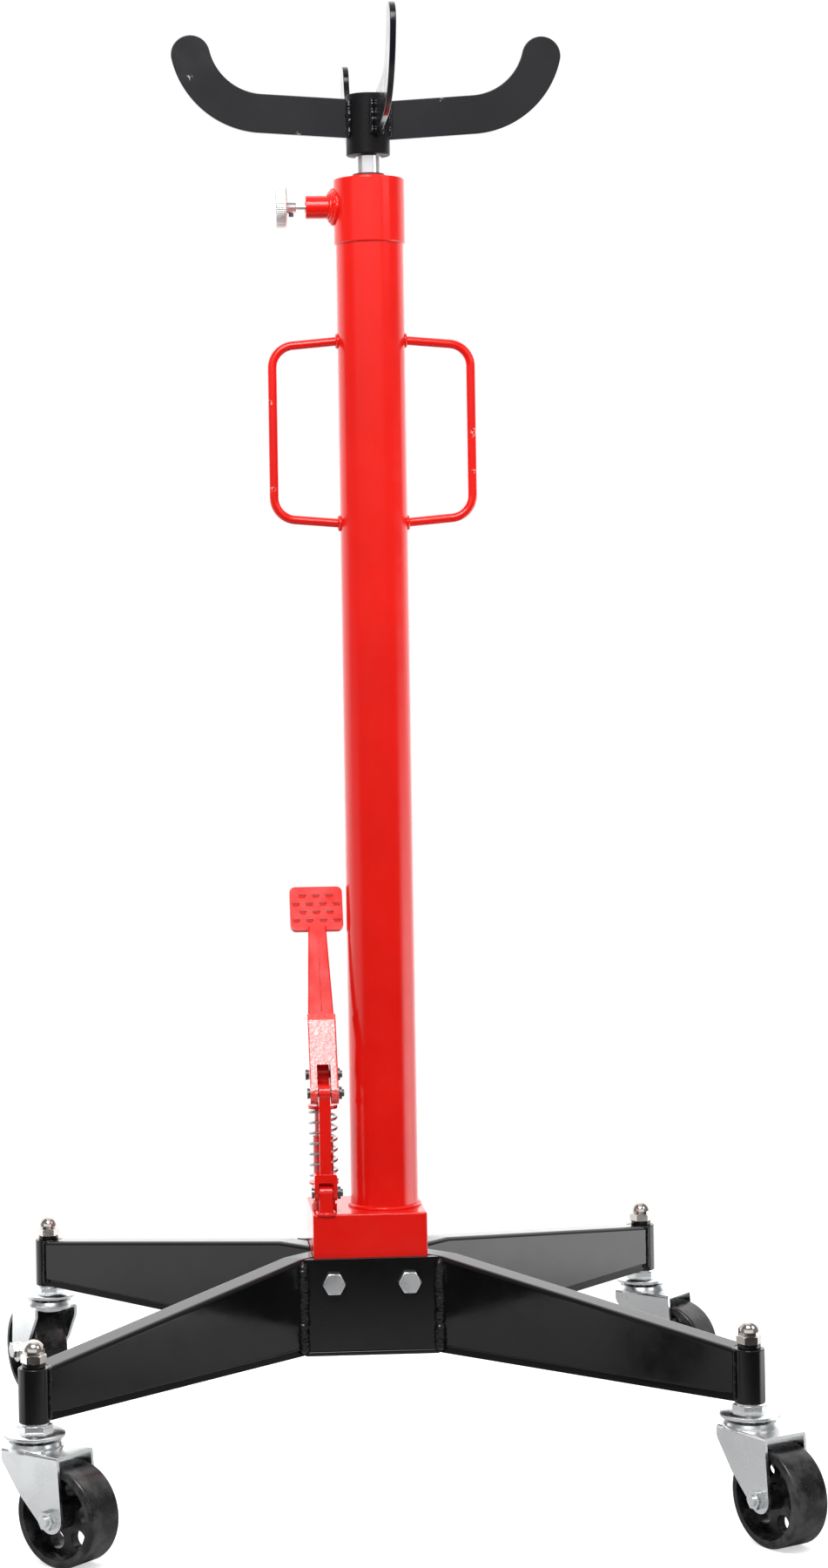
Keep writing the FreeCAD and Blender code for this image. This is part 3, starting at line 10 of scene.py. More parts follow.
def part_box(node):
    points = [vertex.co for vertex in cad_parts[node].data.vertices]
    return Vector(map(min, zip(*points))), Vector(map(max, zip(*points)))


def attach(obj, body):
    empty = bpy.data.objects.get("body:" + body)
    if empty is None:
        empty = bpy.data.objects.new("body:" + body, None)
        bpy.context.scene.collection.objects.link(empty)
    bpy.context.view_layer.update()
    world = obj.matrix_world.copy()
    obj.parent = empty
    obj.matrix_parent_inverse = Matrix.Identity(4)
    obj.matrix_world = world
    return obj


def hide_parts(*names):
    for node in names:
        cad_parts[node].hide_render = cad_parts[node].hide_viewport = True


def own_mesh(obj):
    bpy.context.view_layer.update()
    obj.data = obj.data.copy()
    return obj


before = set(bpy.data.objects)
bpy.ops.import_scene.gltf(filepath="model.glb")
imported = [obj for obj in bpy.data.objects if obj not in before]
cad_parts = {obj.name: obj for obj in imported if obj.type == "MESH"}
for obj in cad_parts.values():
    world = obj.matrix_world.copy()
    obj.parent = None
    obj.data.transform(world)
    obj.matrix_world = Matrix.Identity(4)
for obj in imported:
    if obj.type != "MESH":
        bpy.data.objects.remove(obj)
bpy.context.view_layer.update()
MM = 0.001

# Strength of the studio's surround, by direction from the object.
FRONT_LOW = 0.05
FRONT_HIGH = 0.24
FRONT_BAND = 1.1
LEFT_LOW = 1.3
RIGHT_LOW = 3.6
BACKDROP = 1.7

# The pump side of the jack, as in the CAD.
PUMP_SIDE = -52 * MM
LINK_FRONT = -36.5 * MM
LINK_PIVOT = 315 * MM
LEVER_LEAN = math.radians(-25.3)


# ---------------------------------------------------------------- materials
def add_node(tree, kind, inputs=(), **settings):
    """A node with its settings, and its inputs given as values or as outputs to link."""
    made = tree.nodes.new(kind)
    for key, value in settings.items():
        setattr(made, key, value)
    for socket, value in dict(inputs).items():
        if isinstance(value, bpy.types.NodeSocket):
            tree.links.new(value, made.inputs[socket])
        else:
            made.inputs[socket].default_value = value
    return made


class Surface:
    """A Principled material under construction, patterned in object coordinates."""

    def __init__(self, name, colour, rough, metal=0.0, specular=0.5, coat=0.0):
        self.material = bpy.data.materials.new(name)
        self.material.use_nodes = True
        self.tree = self.material.node_tree
        self.shader = self.tree.nodes["Principled BSDF"]
        self.set("Base Color", (*colour, 1.0))
        self.set("Roughness", rough)
        self.set("Metallic", metal)
        self.set("Specular IOR Level", specular)
        self.set("Coat Weight", coat)
        self.set("Coat Roughness", 0.06)
        self.place = self.node("ShaderNodeTexCoord").outputs["Object"]

    def set(self, socket, value):
        self.shader.inputs[socket].default_value = value

    def link(self, socket, output):
        self.tree.links.new(output, self.shader.inputs[socket])

    def node(self, kind, inputs=(), **settings):
        return add_node(self.tree, kind, inputs, **settings)

    def noise(self, scale, detail=3.0, rough=0.5, stretch=(1, 1, 1), distortion=0.0):
        """Fractal noise from 0 to 1; scale is in lumps per metre."""
        spot = self.place
        if tuple(stretch) != (1, 1, 1):
            spot = self.node("ShaderNodeMapping", {"Vector": spot, "Scale": stretch}).outputs[0]
        return self.node("ShaderNodeTexNoise", {
            "Vector": spot, "Scale": scale, "Detail": detail, "Roughness": rough,
            "Distortion": distortion}).outputs["Fac"]

    def span(self, value, low, high, to_low=0.0, to_high=1.0):
        """value taken from low..high to to_low..to_high, and held there."""
        return self.node("ShaderNodeMapRange", {
            "Value": value, "From Min": low, "From Max": high,
            "To Min": to_low, "To Max": to_high}).outputs[0]

    def maths(self, operation, first, second):
        return self.node("ShaderNodeMath", {0: first, 1: second}, operation=operation).outputs[0]

    def mix(self, factor, first, second):
        """A blend of two colours, each a triple or an output."""
        made = self.node("ShaderNodeMix", {"Factor": factor}, data_type="RGBA")
        for socket, value in ((6, first), (7, second)):
            if isinstance(value, bpy.types.NodeSocket):
                self.tree.links.new(value, made.inputs[socket])
            else:
                made.inputs[socket].default_value = (*value, 1.0)
        return made.outputs[2]

    def near(self, spots):
        """1 within each spot (x, y, z, reach), fading to 0 at its edge."""
        total = None
        for x, y, z, reach in spots:
            away = self.node("ShaderNodeVectorMath", {0: self.place, 1: (x, y, z)},
                             operation="DISTANCE").outputs["Value"]
            here = self.span(away, reach * 0.4, reach, 1.0, 0.0)
            total = here if total is None else self.maths("MAXIMUM", total, here)
        return total

    def relief(self, height, strength, distance):
        """Bump on top of whatever bump is there already."""
        inputs = {"Height": height, "Strength": strength, "Distance": distance}
        before = self.shader.inputs["Normal"].links
        if before:
            inputs["Normal"] = before[0].from_socket
        self.link("Normal", self.node("ShaderNodeBump", inputs).outputs[0])


def enamel(name, colour, deep, rough, specular, peel=0.10, dust=0.25, chips=(), bare=(0.5, 0.5, 0.5)):
    """Sprayed enamel: slow drift in tone, orange peel, settled dust, and chips at given spots."""
    made = Surface(name, colour, rough, specular=specular)
    tone = made.mix(made.span(made.noise(9.0, 2.0), 0.35, 0.65), colour, deep)
    speck = made.span(made.noise(1900.0, 2.0), 0.74, 0.80)
    patch = made.span(made.noise(30.0, 3.0), 0.45, 0.70)
    speck = made.maths("MULTIPLY", speck, patch)
    pale = tuple(0.55 * part + 0.25 for part in colour)
    tone = made.mix(made.maths("MULTIPLY", speck, dust), tone, pale)
    shine = made.span(made.noise(60.0, 4.0), 0.3, 0.7, rough * 0.75, rough * 1.35)
    if chips:
        lean = made.maths("MULTIPLY", made.near(chips), 0.4)
        worn = made.span(made.maths("ADD", lean, made.noise(650.0, 4.0, 0.65)), 0.95, 0.965)
        tone = made.mix(worn, tone, bare)
        shine = made.maths("MAXIMUM", shine, made.maths("MULTIPLY", worn, 0.5))
        made.relief(worn, 0.4, -0.0001)
    made.link("Base Color", tone)
    made.link("Roughness", shine)
    made.relief(made.noise(520.0, 2.0, 0.4), peel, 0.0004)
    made.relief(speck, 0.3 * dust, 0.0002)
    return made.material


def cast_enamel_and_highlight():
    """Thick enamel over a sand casting: beads and pits that each catch the light, on a red lifted
    towards pink as a painted highlight.
    """
    made = Surface("cast_enamel_and_highlight", RED, 0.2, specular=1.0, coat=0.7)
    # The two reds drift at random as the enamel's own tone, and both are lifted towards pink: a
    # painted highlight on the socket's face.
    made.link("Base Color", made.mix(made.noise(40.0), (0.85, 0.045, 0.032), (0.80, 0.025, 0.017)))
    made.link("Roughness", made.span(made.noise(90.0, 4.0), 0.3, 0.7, 0.2, 0.4))
    made.relief(made.noise(330.0, 2.0, 0.4), 0.8, 0.0013)
    made.relief(made.noise(950.0, 2.0, 0.4), 0.4, 0.0004)
    return made.material


def metal(name, colour, tint, rough, cloud=40.0, grain=0.05, stretch=(1, 1, 1), spots=0.0, bright=1.0):
    """Plated or machined metal: clouded tone, uneven gloss and fine grain."""
    made = Surface(name, colour, rough, metal=bright)
    haze = made.span(made.noise(cloud, 4.0, 0.6, distortion=0.6), 0.35, 0.65)
    tone = made.mix(haze, colour, tint)
    if spots:
        stain = made.span(made.noise(260.0, 3.0), 0.62, 0.70, 0.0, spots)
        tone = made.mix(stain, tone, tuple(0.35 * part for part in tint))
    made.link("Base Color", tone)
    made.link("Roughness", made.span(made.noise(cloud * 2.5, 5.0), 0.3, 0.7, rough * 0.7, rough * 1.4))
    made.relief(made.noise(900.0, 3.0, 0.5, stretch), grain, 0.0002)
    return made.material


def rubber(name, colour, scuff, rough, grain, amount=0.5):
    """Moulded polymer: greyed by streaky scuffs, with pale specks and a fine grain."""
    made = Surface(name, colour, rough, specular=0.4)
    streak = made.span(made.noise(55.0, 5.0, 0.65), 0.45, 0.75, 0.0, amount)
    tone = made.mix(streak, colour, scuff)
    speck = made.span(made.noise(1500.0, 2.0), 0.70, 0.76, 0.0, 0.7)
    tone = made.mix(speck, tone, (0.35, 0.35, 0.34))
    made.link("Base Color", tone)
    made.link("Roughness", made.span(made.noise(120.0, 4.0), 0.3, 0.7, rough * 0.8, rough * 1.3))
    made.relief(made.noise(1200.0, 3.0), grain, 0.0003)
    return made.material


RED, DEEP_RED = (0.80, 0.0105, 0.0055), (0.72, 0.0085, 0.0045)
BLACK, SOFT_BLACK = (0.0035, 0.0035, 0.0038), (0.007, 0.007, 0.0075)
HANDLE_CHIPS = [(0.0867, -0.003, 0.866, 0.009), (-0.0870, -0.003, 0.893, 0.006),
                (-0.0850, -0.003, 0.820, 0.006), (0.086, -0.003, 0.833, 0.005)]
ARM_CHIPS = [(-0.150, -0.01, 1.166, 0.006), (0.141, 0.004, 1.131, 0.008),
             (-0.06, -0.01, 1.117, 0.006), (0.062, 0.004, 1.150, 0.007),
             (-0.02, -0.018, 1.149, 0.007), (-0.106, -0.008, 1.159, 0.006)]

SLOTS = {
    "red_enamel": enamel("red_enamel", RED, DEEP_RED, 0.17, 0.42, dust=0.12),
    "black_enamel": enamel("black_enamel", BLACK, SOFT_BLACK, 0.12, 0.36, peel=0.035, dust=0.7),
    "zinc_plate": metal("zinc_plate", (0.84, 0.86, 0.87), (0.76, 0.78, 0.79), 0.25, cloud=16.0,
                        grain=0.015, spots=0.05),
    "dark_zinc": metal("dark_zinc", (0.16, 0.16, 0.17), (0.08, 0.08, 0.085), 0.34, spots=0.4),
    "spring_steel": metal("spring_steel", (0.60, 0.60, 0.62), (0.38, 0.37, 0.37), 0.26, spots=0.5),
    "chrome_ram": metal("chrome_ram", (0.78, 0.79, 0.80), (0.70, 0.71, 0.73), 0.07, grain=0.02,
                        stretch=(1, 1, 0.1), bright=0.72),
    "nickel": metal("nickel", (0.70, 0.66, 0.62), (0.52, 0.48, 0.45), 0.13, spots=0.3),
    "bare_steel": metal("bare_steel", (0.52, 0.52, 0.53), (0.40, 0.40, 0.41), 0.30),
    "seal_rubber": rubber("seal_rubber", (0.012, 0.012, 0.013), (0.03, 0.03, 0.03), 0.55, 0.1),
    "wheel_black": rubber("wheel_black", (0.006, 0.006, 0.007), (0.15, 0.15, 0.15), 0.27, 0.05,
                          amount=0.45),
}
CHIPPED_RED = enamel("handle_enamel", RED, DEEP_RED, 0.17, 0.42, dust=0.3, chips=HANDLE_CHIPS,
                     bare=(0.75, 0.55, 0.50))
HUB_BLACK = enamel("hub_enamel", (0.006, 0.006, 0.007), (0.010, 0.010, 0.011), 0.42, 0.10, peel=0.3,
                   dust=0.9)
CHIPPED_BLACK = enamel("saddle_enamel", (0.006, 0.006, 0.008), (0.010, 0.010, 0.013), 0.15, 0.32,
                       peel=0.06, dust=0.9, chips=ARM_CHIPS, bare=(0.55, 0.54, 0.50))
SHADED_BLACK = enamel("bar_enamel", BLACK, SOFT_BLACK, 0.16, 0.12, peel=0.06, dust=0.6)
CAST_RED_AND_HIGHLIGHT = cast_enamel_and_highlight()
PEDAL_RED = enamel("pedal_enamel", RED, DEEP_RED, 0.34, 0.22, peel=0.12, dust=0.2)

for name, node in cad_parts.items():
    old = node.data.materials[0].name if node.data.materials else "red_enamel"
    slot = old.split(".")[0]
    node.material_slots[0].material = SLOTS[slot]
for name in ("handle_left", "handle_right"):
    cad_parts[name].material_slots[0].material = CHIPPED_RED
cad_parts["saddle_hub"].material_slots[0].material = HUB_BLACK
for name in ("saddle_arm_left", "saddle_arm_right", "saddle_arm_front", "saddle_arm_rear"):
    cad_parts[name].material_slots[0].material = CHIPPED_BLACK
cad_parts["lever_socket"].material_slots[0].material = CAST_RED_AND_HIGHLIGHT
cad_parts["leg_base_bars"].material_slots[0].material = SHADED_BLACK
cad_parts["pedal_arm"].material_slots[0].material = PEDAL_RED


# ---------------------------------------------------------------- softened CAD edges
def soften(name, width, angle=32.0):
    """Merge, flatten and bevel a CAD node with modifiers, so that its edges catch light."""
    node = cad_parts[name]
    weld = node.modifiers.new("merge", "WELD")
    weld.merge_threshold = 1e-6
    flat = node.modifiers.new("flatten", "DECIMATE")
    flat.decimate_type = "DISSOLVE"
    flat.angle_limit = math.radians(0.6)
    bevel = node.modifiers.new("edges", "BEVEL")
    bevel.width = width
    bevel.segments = 3
    bevel.limit_method = "ANGLE"
    bevel.angle_limit = math.radians(angle)
    bevel.use_clamp_overlap = True
    bevel.miter_outer = "MITER_ARC"
    even = node.modifiers.new("shade", "WEIGHTED_NORMAL")
    even.weight = 80
    even.keep_sharp = False


CORNERS = [("front_left", -1, -1), ("front_right", 1, -1), ("rear_left", -1, 1), ("rear_right", 1, 1)]
for name in ("front_plate", "rear_plate", "floor_plate"):
    soften(name, 1.2 * MM)
for name in ("leg_base_bars", "frame_bolts", "cap_spacers", "caster_stems"):
    soften(name, 0.5 * MM)
for corner, side, depth in CORNERS:
    soften(f"leg_{corner}", 0.5 * MM)
    soften(f"yoke_{corner}", 0.9 * MM)
    soften(f"axle_{corner}", 0.5 * MM)
for name in ("saddle_arm_left", "saddle_arm_right", "saddle_arm_front", "saddle_arm_rear"):
    soften(name, 0.7 * MM)
for name in ("pump_link", "pump_lug"):
    soften(name, 0.6 * MM)


# ---------------------------------------------------------------- welds
def mesh_piece(name, made, body, slot, material=None):
    """Turn a bmesh into a smooth piece that rides on a body."""
    mesh = bpy.data.meshes.new(name)
    bmesh.ops.recalc_face_normals(made, faces=made.faces)
    made.to_mesh(mesh)
    made.free()
    mesh.shade_smooth()
    piece = bpy.data.objects.new(name, mesh)
    bpy.context.scene.collection.objects.link(piece)
    mesh.materials.append(material or SLOTS[slot])
    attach(piece, body)
    return piece


def resampled(path, step, closed):
    """Points along a polyline at even steps, with the distance run at each."""
    corners = [Vector(point) for point in path]
    if closed:
        corners.append(corners[0])
    lengths = [(b - a).length for a, b in zip(corners, corners[1:])]
    total = sum(lengths)
    count = max(4, round(total / step))
    points = []
    for index in range(count if closed else count + 1):
        left = total * index / count
        for (a, b), length in zip(zip(corners, corners[1:]), lengths):
            if left <= length + 1e-9:
                points.append(a.lerp(b, min(1.0, left / length)))
                break
            left -= length
    return points, total


def skin(made, rings, closed=False):
    """Faces between rings of vertices, which are capped at both ends unless they close up."""
    pairs = list(zip(rings, rings[1:]))
    if closed:
        pairs.append((rings[-1], rings[0]))
    for first, second in pairs:
        for side in range(len(first)):
            after = (side + 1) % len(first)
            made.faces.new((first[side], first[after], second[after], second[side]))
    if not closed:
        made.faces.new(rings[0])
        made.faces.new(rings[-1])


def add_bead(made, path, radius, seed, closed=False, pitch=2.4 * MM, rough=1.0):
    """One run of weld: a tube whose section swells at each ripple and wanders a little."""
    sides, step = (14, 0.6 * MM) if radius > 1.5 * MM else (8, 0.9 * MM)
    points, total = resampled(path, step, closed)
    count = len(points)
    rings = []
    reference = None
    for index, point in enumerate(points):
        if closed:
            ahead, behind = points[(index + 2) % count], points[index - 2]
        else:
            ahead, behind = points[min(count - 1, index + 2)], points[max(0, index - 2)]
        along = (ahead - behind).normalized()
        if reference is None:
            reference = along.orthogonal()
        reference = (reference - reference.dot(along) * along).normalized()
        other = along.cross(reference)
        run = total * index / count
        taper = 1.0
        if not closed:
            end = min(index, count - 1 - index) * total / count / radius
            taper = math.sqrt(max(0.02, 1 - max(0.0, 1 - end) ** 2))
        ring = []
        for side in range(sides):
            turn = 2 * math.pi * side / sides
            out = math.cos(turn) * reference + math.sin(turn) * other
            ripple = 0.5 + 0.5 * math.sin(2 * math.pi * run / pitch + 1.4 * math.cos(turn * 2))
            lump = noise.noise(Vector((run / (4.5 * MM), seed * 7.3, math.cos(turn) * 0.6)))
            fine = noise.noise((point + out * radius) / (1.3 * MM) + Vector((seed, 0, 0)))
            swell = 1 + rough * (0.045 * (ripple ** 1.5 - 0.4) + 0.24 * lump + 0.09 * fine)
            ring.append(made.verts.new(point + out * radius * swell * taper))
        rings.append(ring)
    skin(made, rings, closed)


def ring_path(centre, axis, radius, steps=48, sag=None):
    """A circle about an axis; sag(point) can press it onto a curved face."""
    centre, axis = Vector(centre), Vector(axis)
    first = axis.orthogonal().normalized()
    second = axis.cross(first)
    path = []
    for step in range(steps):
        turn = 2 * math.pi * step / steps
        point = centre + radius * (math.cos(turn) * first + math.sin(turn) * second)
        path.append(sag(point) if sag else point)
    return path


def onto_column(radius):
    """Press a point sideways onto a column of that radius about the ram's axis."""
    def press(point):
        side = math.copysign(math.sqrt(max(0.0, radius ** 2 - point.y ** 2)), point.x)
        return Vector((side, point.y, point.z))
    return press


MIDDLE = -15.6 * MM
BASE_LOW, BASE_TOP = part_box("floor_plate")[0].z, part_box("front_plate")[1].z
SLEEVE_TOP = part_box("caster_sleeves")[1].z
SEAM_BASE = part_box("leg_front_left")[0].z
SEAM_TIP = SEAM_BASE + 4.5 * MM


def frame_welds():
    """Runs at both ends of each leg, round its sleeve, and along the seam of its base bar."""
    lean = math.radians(45.8)
    for index, (corner, side, depth) in enumerate(CORNERS):
        made = bmesh.new()
        x, y = MIDDLE + side * 57.0 * MM, depth * 47.4 * MM
        down = [Vector((x, y, BASE_TOP - 2.0 * MM)), Vector((x, y, BASE_LOW + 2.6 * MM))]
        add_bead(made, down, 5.1 * MM, 3 + index, pitch=3.4 * MM, rough=1.35)
        x, y = MIDDLE + side * 51.0 * MM, depth * 17.6 * MM
        down = [Vector((x, y, BASE_TOP - 1.0 * MM)), Vector((x, y, BASE_LOW + 3.0 * MM))]
        add_bead(made, down, 4.6 * MM, 40 + index, pitch=3.4 * MM, rough=1.35)
        inward = Vector((-side * math.cos(lean), -depth * math.sin(lean), 0))
        stem = Vector((MIDDLE + side * 274.4 * MM, depth * 256 * MM, 0))
        across = Vector((-inward.y, inward.x, 0))
        hug = math.asin(11.0 / 12.4)
        low, top = 105 * MM, SLEEVE_TOP - 1.2 * MM
        path = []
        for z, turn in ([(low, -hug), (top, -hug)]
                        + [(top + 0.4 * MM, hug * part / 4) for part in (-3, -2, -1, 0, 1, 2, 3)]
                        + [(top, hug), (low, hug)]):
            out = math.cos(turn) * inward + math.sin(turn) * across
            path.append(stem + out * 12.5 * MM + Vector((0, 0, z)))
        add_bead(made, path, 1.4 * MM, 20 + index, rough=1.3)
        for hand in (-1, 1):
            edge = stem + across * hand * 10.5 * MM
            seam = [(14 * MM, SEAM_TIP), (300 * MM, SEAM_BASE)]
            if hand != side * depth:
                seam.append((326 * MM, SEAM_BASE))
            path = [edge + inward * along + Vector((0, 0, z)) for along, z in seam]
            add_bead(made, path, 0.8 * MM, 50 + index + hand, pitch=2.6 * MM, rough=1.0)
        mesh_piece(f"weld_{corner}", made, "root", "black_enamel")


def column_welds():
    """Rings at the foot of the column, the ends of the handles, the valve boss and the pump lug."""
    made = bmesh.new()
    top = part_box("base_block")[1].z
    add_bead(made, ring_path((0, 0, top + 0.8 * MM), (0, 0, 1), 29.1 * MM, 96), 1.7 * MM, 1, True,
             rough=1.0)
    mesh_piece("weld_column_foot", made, "root", "red_enamel")
    for name, side in (("left", -1), ("right", 1)):
        made = bmesh.new()
        for seed, z in enumerate((944.0 * MM, 790.0 * MM)):
            ring = ring_path((side * 29 * MM, 0, z), (1, 0, 0), 4.7 * MM, 32,
                             onto_column(28.7 * MM))
            add_bead(made, ring, 1.9 * MM, 5 + seed + side, True, rough=1.3)
        mesh_piece(f"weld_handle_{name}", made, "root", "red_enamel")
    made = bmesh.new()
    for reach, off, thick in ((11.0, 31.8, 2.6), (13.4, 30.6, 2.3), (9.8, 34.2, 1.7)):
        ring = ring_path((-30 * MM, 0, 1057 * MM), (1, 0, 0), reach * MM, 48, onto_column(off * MM))
        add_bead(made, ring, thick * MM, 11 + reach, True, rough=1.6)
    mesh_piece("weld_valve_boss", made, "root", "red_enamel")
    made = bmesh.new()
    x, y = PUMP_SIDE, LINK_FRONT
    wide, deep = 6.2 * MM, 7.0 * MM
    foot = [(x - wide, y - deep, top), (x + wide, y - deep, top), (x + wide, y + deep, top),
            (x - wide, y + deep, top)]
    add_bead(made, foot, 1.8 * MM, 13, True, rough=1.5)
    mesh_piece("weld_pump_lug", made, "root", "red_enamel")


def saddle_welds():
    """Runs down both faces of each arm where it stands on the hub."""
    made = bmesh.new()
    for quarter in range(4):
        turn = Matrix.Rotation(math.radians(0.8 + 90 * quarter), 3, "Z")
        for edge in (-1, 1):
            aside = (6 + edge * 3.5) * MM
            out = math.sqrt((18.8 * MM) ** 2 - aside ** 2)
            path = [turn @ Vector((out, aside, z)) for z in (1115.6 * MM, 1146.2 * MM)]
            add_bead(made, path, 2.7 * MM, 30 + 2 * quarter + edge, rough=1.7)
    mesh_piece("weld_saddle", made, "saddle", "black_enamel", CHIPPED_BLACK)


def pedal_details():
    """The pushed-out lower lip of each slot in the tread plate, and the flash down the arm."""
    lean = Matrix.Rotation(LEVER_LEAN, 4, "X")
    move = Matrix.Translation((PUMP_SIDE, LINK_FRONT, LINK_PIVOT)) @ lean
    slot_pitch, row_pitch, tread_middle, below_slot = 11.5, 7.4, 162.5, 0.9
    size = Matrix.Diagonal((3.4 * MM, 2.2 * MM, 1.15 * MM, 1))
    made = bmesh.new()
    for row in range(4):
        across = 3 + row % 2
        for place in range(across):
            x = (place - (across - 1) / 2) * slot_pitch
            up = tread_middle + (1.5 - row) * row_pitch - below_slot
            centre = Vector((x, -1.1, up))
            bmesh.ops.create_icosphere(made, subdivisions=3, radius=1.0,
                                       matrix=move @ Matrix.Translation(centre * MM) @ size)
    mesh_piece("tread_lips", made, "lever", "red_enamel", PEDAL_RED)
    made = bmesh.new()
    path = [move @ (Vector((0.5, -3.75, up)) * MM) for up in (69, 136)]
    add_bead(made, path, 0.6 * MM, 61, pitch=2.9 * MM, rough=2.4)
    mesh_piece("arm_flash", made, "lever", "red_enamel")


def coil_spring():
    """The return spring as a wire helix at one fixed length; it does not shorten as the plunger comes
    down.
    """
    low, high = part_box("return_spring")
    wire, pitch, sides, steps = 1.15 * MM, 8.8 * MM, 14, 64
    reach = (high.x - low.x) / 2 - wire
    rise = high.z - low.z - 2 * wire
    middle = Vector(((low.x + high.x) / 2, (low.y + high.y) / 2, low.z + wire))
    made = bmesh.new()
    rings = []
    for step in range(round(rise / pitch * steps) + 1):
        turn = 2 * math.pi * step / steps
        out = Vector((math.cos(turn), math.sin(turn), 0))
        along = Vector((-out.y * reach, out.x * reach, pitch / (2 * math.pi))).normalized()
        up = out.cross(along)
        centre = middle + out * reach + Vector((0, 0, pitch * step / steps))
        angles = [2 * math.pi * side / sides for side in range(sides)]
        rings.append([made.verts.new(centre + wire * (math.cos(angle) * out + math.sin(angle) * up))
                      for angle in angles])
    skin(made, rings)
    piece = mesh_piece("coil_spring", made, "root", "spring_steel")
    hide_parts("return_spring")
    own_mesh(piece)


frame_welds()
column_welds()
saddle_welds()
pedal_details()
coil_spring()


# ---------------------------------------------------------------- knurled knob
def lathe(made, profile, turns, centre, axis, first, grow=None):
    """Rings of a profile of (distance along axis, radius), closed at both ends."""
    second = axis.cross(first)
    rings = []
    for row, (along, radius) in enumerate(profile):
        ring = []
        for step in range(turns):
            turn = 2 * math.pi * step / turns
            reach = radius if grow is None else grow(row, step, radius)
            out = math.cos(turn) * first + math.sin(turn) * second
            ring.append(made.verts.new(centre + along * axis + reach * out))
        rings.append(ring)
    skin(made, rings)


def knob():
    """The release knob: a knurled rim, turned faces and a short hub."""
    low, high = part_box("release_knob")
    centre = Vector((high.x, 0, (low.z + high.z) / 2))
    radius = (high.z - low.z) / 2
    teeth = 64
    rim = [0.2, 0.9, 1.4, 2.0, 4.0, 6.0, 8.0, 8.6, 9.1, 9.8]
    profile = [(0.0, 2.4 * MM), (0.0, 4.6 * MM), (0.4 * MM, 5.0 * MM), (7.6 * MM, 5.0 * MM),
               (7.95 * MM, 5.6 * MM), (8.0 * MM, 12.6 * MM), (8.3 * MM, 13.2 * MM),
               (8.3 * MM, 15.2 * MM)]
    smooth = len(profile)
    for step in rim:
        shoulder = 1.3 * MM * (1 - math.sqrt(max(0.0, 1 - (abs(step - 5.0) / 5.0) ** 6)))
        profile.append(((8.0 + step) * MM, radius - 0.05 * MM - shoulder))
    knurled = len(profile)
    profile += [(18.0 * MM, 14.0 * MM), (17.7 * MM, 13.2 * MM), (17.7 * MM, 6.4 * MM),
                (17.95 * MM, 5.6 * MM), (17.95 * MM, 1.2 * MM)]

    def tooth(row, step, reach):
        if smooth <= row < knurled:
            return reach - MM * (0.0, 0.2, 0.42, 0.2)[step % 4]
        return reach
    made = bmesh.new()
    lathe(made, profile, teeth * 4, centre, Vector((-1, 0, 0)), Vector((0, 0, 1)), tooth)
    bright = metal("knob_zinc", (0.93, 0.93, 0.92), (0.86, 0.86, 0.85), 0.42, grain=0.05)
    piece = mesh_piece("knurled_knob", made, "release_screw", "zinc_plate", bright)
    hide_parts("release_knob")


knob()


# ---------------------------------------------------------------- floor, light and camera
def floor():
    """A disc of pale paper that thins out into the white surround."""
    made = bmesh.new()
    bmesh.ops.create_circle(made, cap_ends=True, segments=96, radius=1.25)
    mesh = bpy.data.meshes.new("floor")
    made.to_mesh(mesh)
    made.free()
    piece = bpy.data.objects.new("floor", mesh)
    bpy.context.scene.collection.objects.link(piece)
    paper = Surface("floor_paper", (0.93, 0.93, 0.93), 0.9, specular=0.1)
    shade = paper.mix(paper.noise(3.0), (0.94, 0.94, 0.94), (0.92, 0.92, 0.92))
    seen = paper.node("ShaderNodeLightPath").outputs["Is Camera Ray"]
    paper.link("Base Color", paper.mix(seen, (0.50, 0.50, 0.50), shade))
    paper.set("Emission Color", (1.0, 1.0, 1.0, 1.0))
    paper.link("Emission Strength", paper.maths("MULTIPLY", seen, 0.55))
    away = paper.node("ShaderNodeVectorMath", {0: paper.place}, operation="LENGTH").outputs["Value"]
    paper.link("Alpha", paper.span(away, 0.52, 0.88, 1.0, 0.0))
    mesh.materials.append(paper.material)


def area_light(name, spot, target, wide, tall, power):
    """A soft box at a spot, aimed at a target."""
    light = bpy.data.lights.new(name, "AREA")
    light.shape = "RECTANGLE"
    light.size, light.size_y = wide, tall
    light.energy = power
    lamp = bpy.data.objects.new(name, light)
    lamp.location = spot
    lamp.rotation_euler = (Vector(target) - Vector(spot)).to_track_quat("-Z", "Y").to_euler()
    bpy.context.scene.collection.objects.link(lamp)


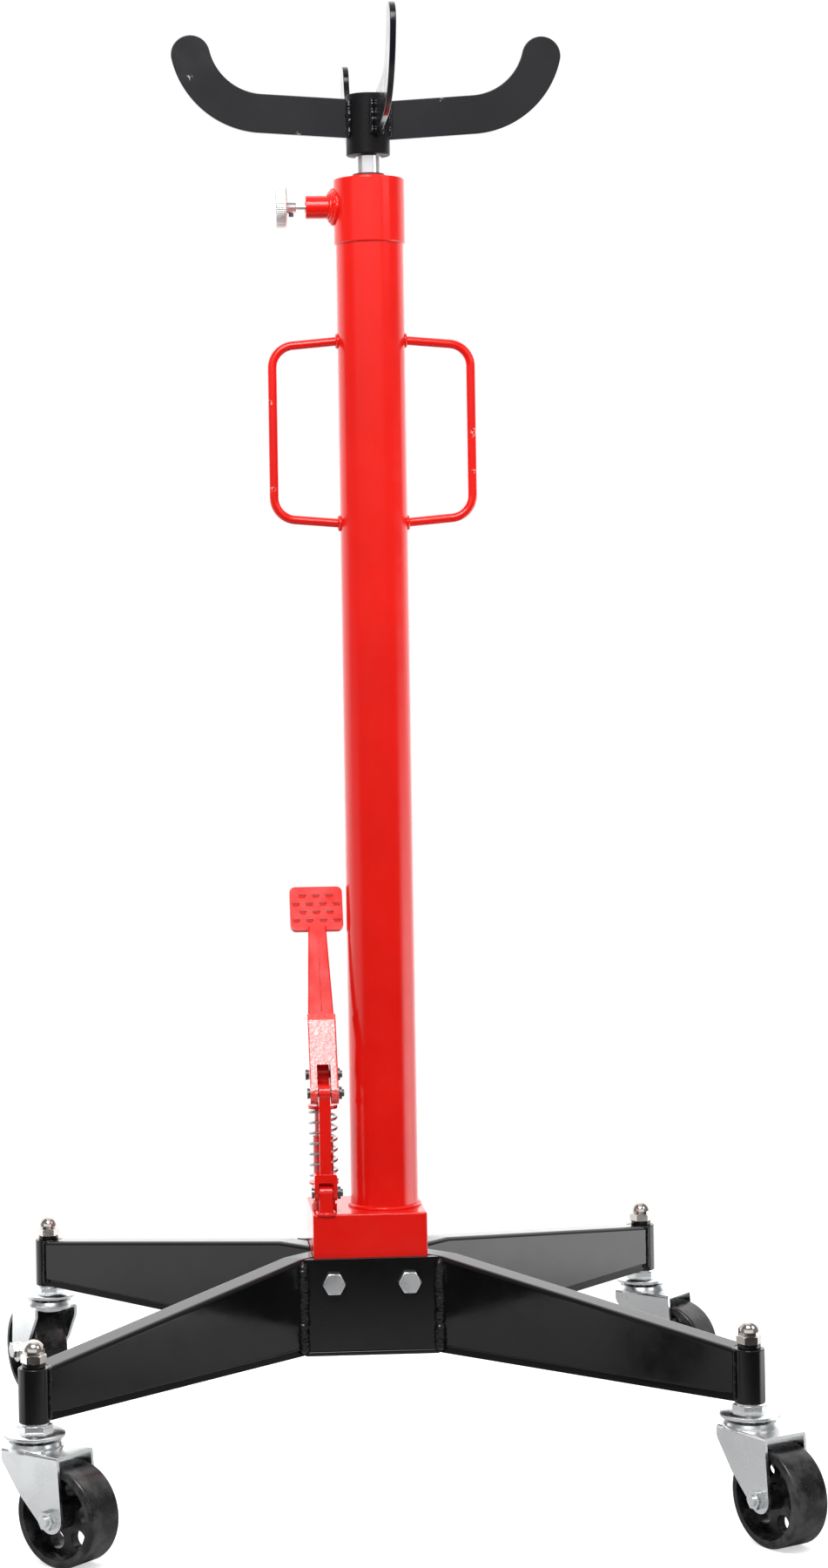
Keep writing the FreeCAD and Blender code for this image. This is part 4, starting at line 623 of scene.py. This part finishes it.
def studio():
    """A bright white backdrop behind and beside, a dimmer room in front, and soft boxes overhead."""
    world = bpy.data.worlds.new("studio")
    bpy.context.scene.world = world
    world.use_nodes = True
    tree = world.node_tree
    background = tree.nodes["Background"]

    def node(kind, inputs, **settings):
        return add_node(tree, kind, inputs, **settings)

    def ramp(value, low, high, first=0.0, last=1.0, kind="SMOOTHSTEP"):
        return node("ShaderNodeMapRange", {"Value": value, "From Min": low, "From Max": high,
                                           "To Min": first, "To Max": last},
                    interpolation_type=kind).outputs[0]

    def blend(factor, first, second):
        return node("ShaderNodeMix", {0: factor, 2: first, 3: second}, data_type="FLOAT").outputs[0]

    way = node("ShaderNodeSeparateXYZ", {0: tree.nodes.new("ShaderNodeTexCoord").outputs["Generated"]})
    side = ramp(way.outputs["X"], -0.9, 0.9, LEFT_LOW, RIGHT_LOW, "LINEAR")
    low = blend(ramp(way.outputs["Y"], -0.45, -0.1), FRONT_LOW, side)
    front = blend(ramp(way.outputs["Z"], -0.14, 0.02), low, FRONT_HIGH)
    inside = [ramp(way.outputs["Z"], 0.04, 0.12), ramp(way.outputs["Z"], 0.45, 0.32),
              ramp(way.outputs["X"], -0.95, -0.8), ramp(way.outputs["X"], 0.65, 0.5)]
    band = inside[0]
    for limit in inside[1:]:
        band = node("ShaderNodeMath", {0: band, 1: limit}, operation="MULTIPLY").outputs[0]
    front = blend(band, front, FRONT_BAND)
    room = blend(ramp(way.outputs["Y"], 0.05, 0.6), front, BACKDROP)
    seen = tree.nodes.new("ShaderNodeLightPath").outputs["Is Camera Ray"]
    tree.links.new(blend(seen, room, 1.0), background.inputs["Strength"])
    background.inputs["Color"].default_value = (1.0, 1.0, 1.0, 1.0)
    area_light("key", (-0.3, -1.5, 2.1), (0, 0, 0.7), 1.2, 0.9, 43)
    area_light("fill", (1.7, -1.3, 1.9), (0, 0, 0.7), 1.0, 1.2, 8)
    area_light("top", (0, 0.4, 3.0), (0, 0, 0), 2.4, 2.4, 12)


def camera():
    """A long lens, held level, with its frame shifted onto the jack."""
    lens = bpy.data.cameras.new("camera")
    lens.sensor_fit = "AUTO"
    lens.sensor_width = 36
    lens.lens = 73.585
    lens.shift_x, lens.shift_y = 0.0849, -0.1016
    lens.clip_start, lens.clip_end = 0.05, 60
    lens.dof.use_dof = False
    eye = bpy.data.objects.new("camera", lens)
    turn, roll = 0.0505, -0.0157
    right = Vector((math.cos(turn), -math.sin(turn), 0))
    ahead = Vector((math.sin(turn), math.cos(turn), 0))
    up = Vector((0, 0, 1))
    across = right * math.cos(roll) + up * math.sin(roll)
    upward = -right * math.sin(roll) + up * math.cos(roll)
    axes = Matrix((across, upward, -ahead)).transposed().to_4x4()
    eye.matrix_world = Matrix.Translation((-0.2164, -2.6988, 0.7054)) @ axes
    bpy.context.scene.collection.objects.link(eye)
    bpy.context.scene.camera = eye


floor()
studio()
camera()
bpy.context.scene.view_settings.view_transform = "Standard"
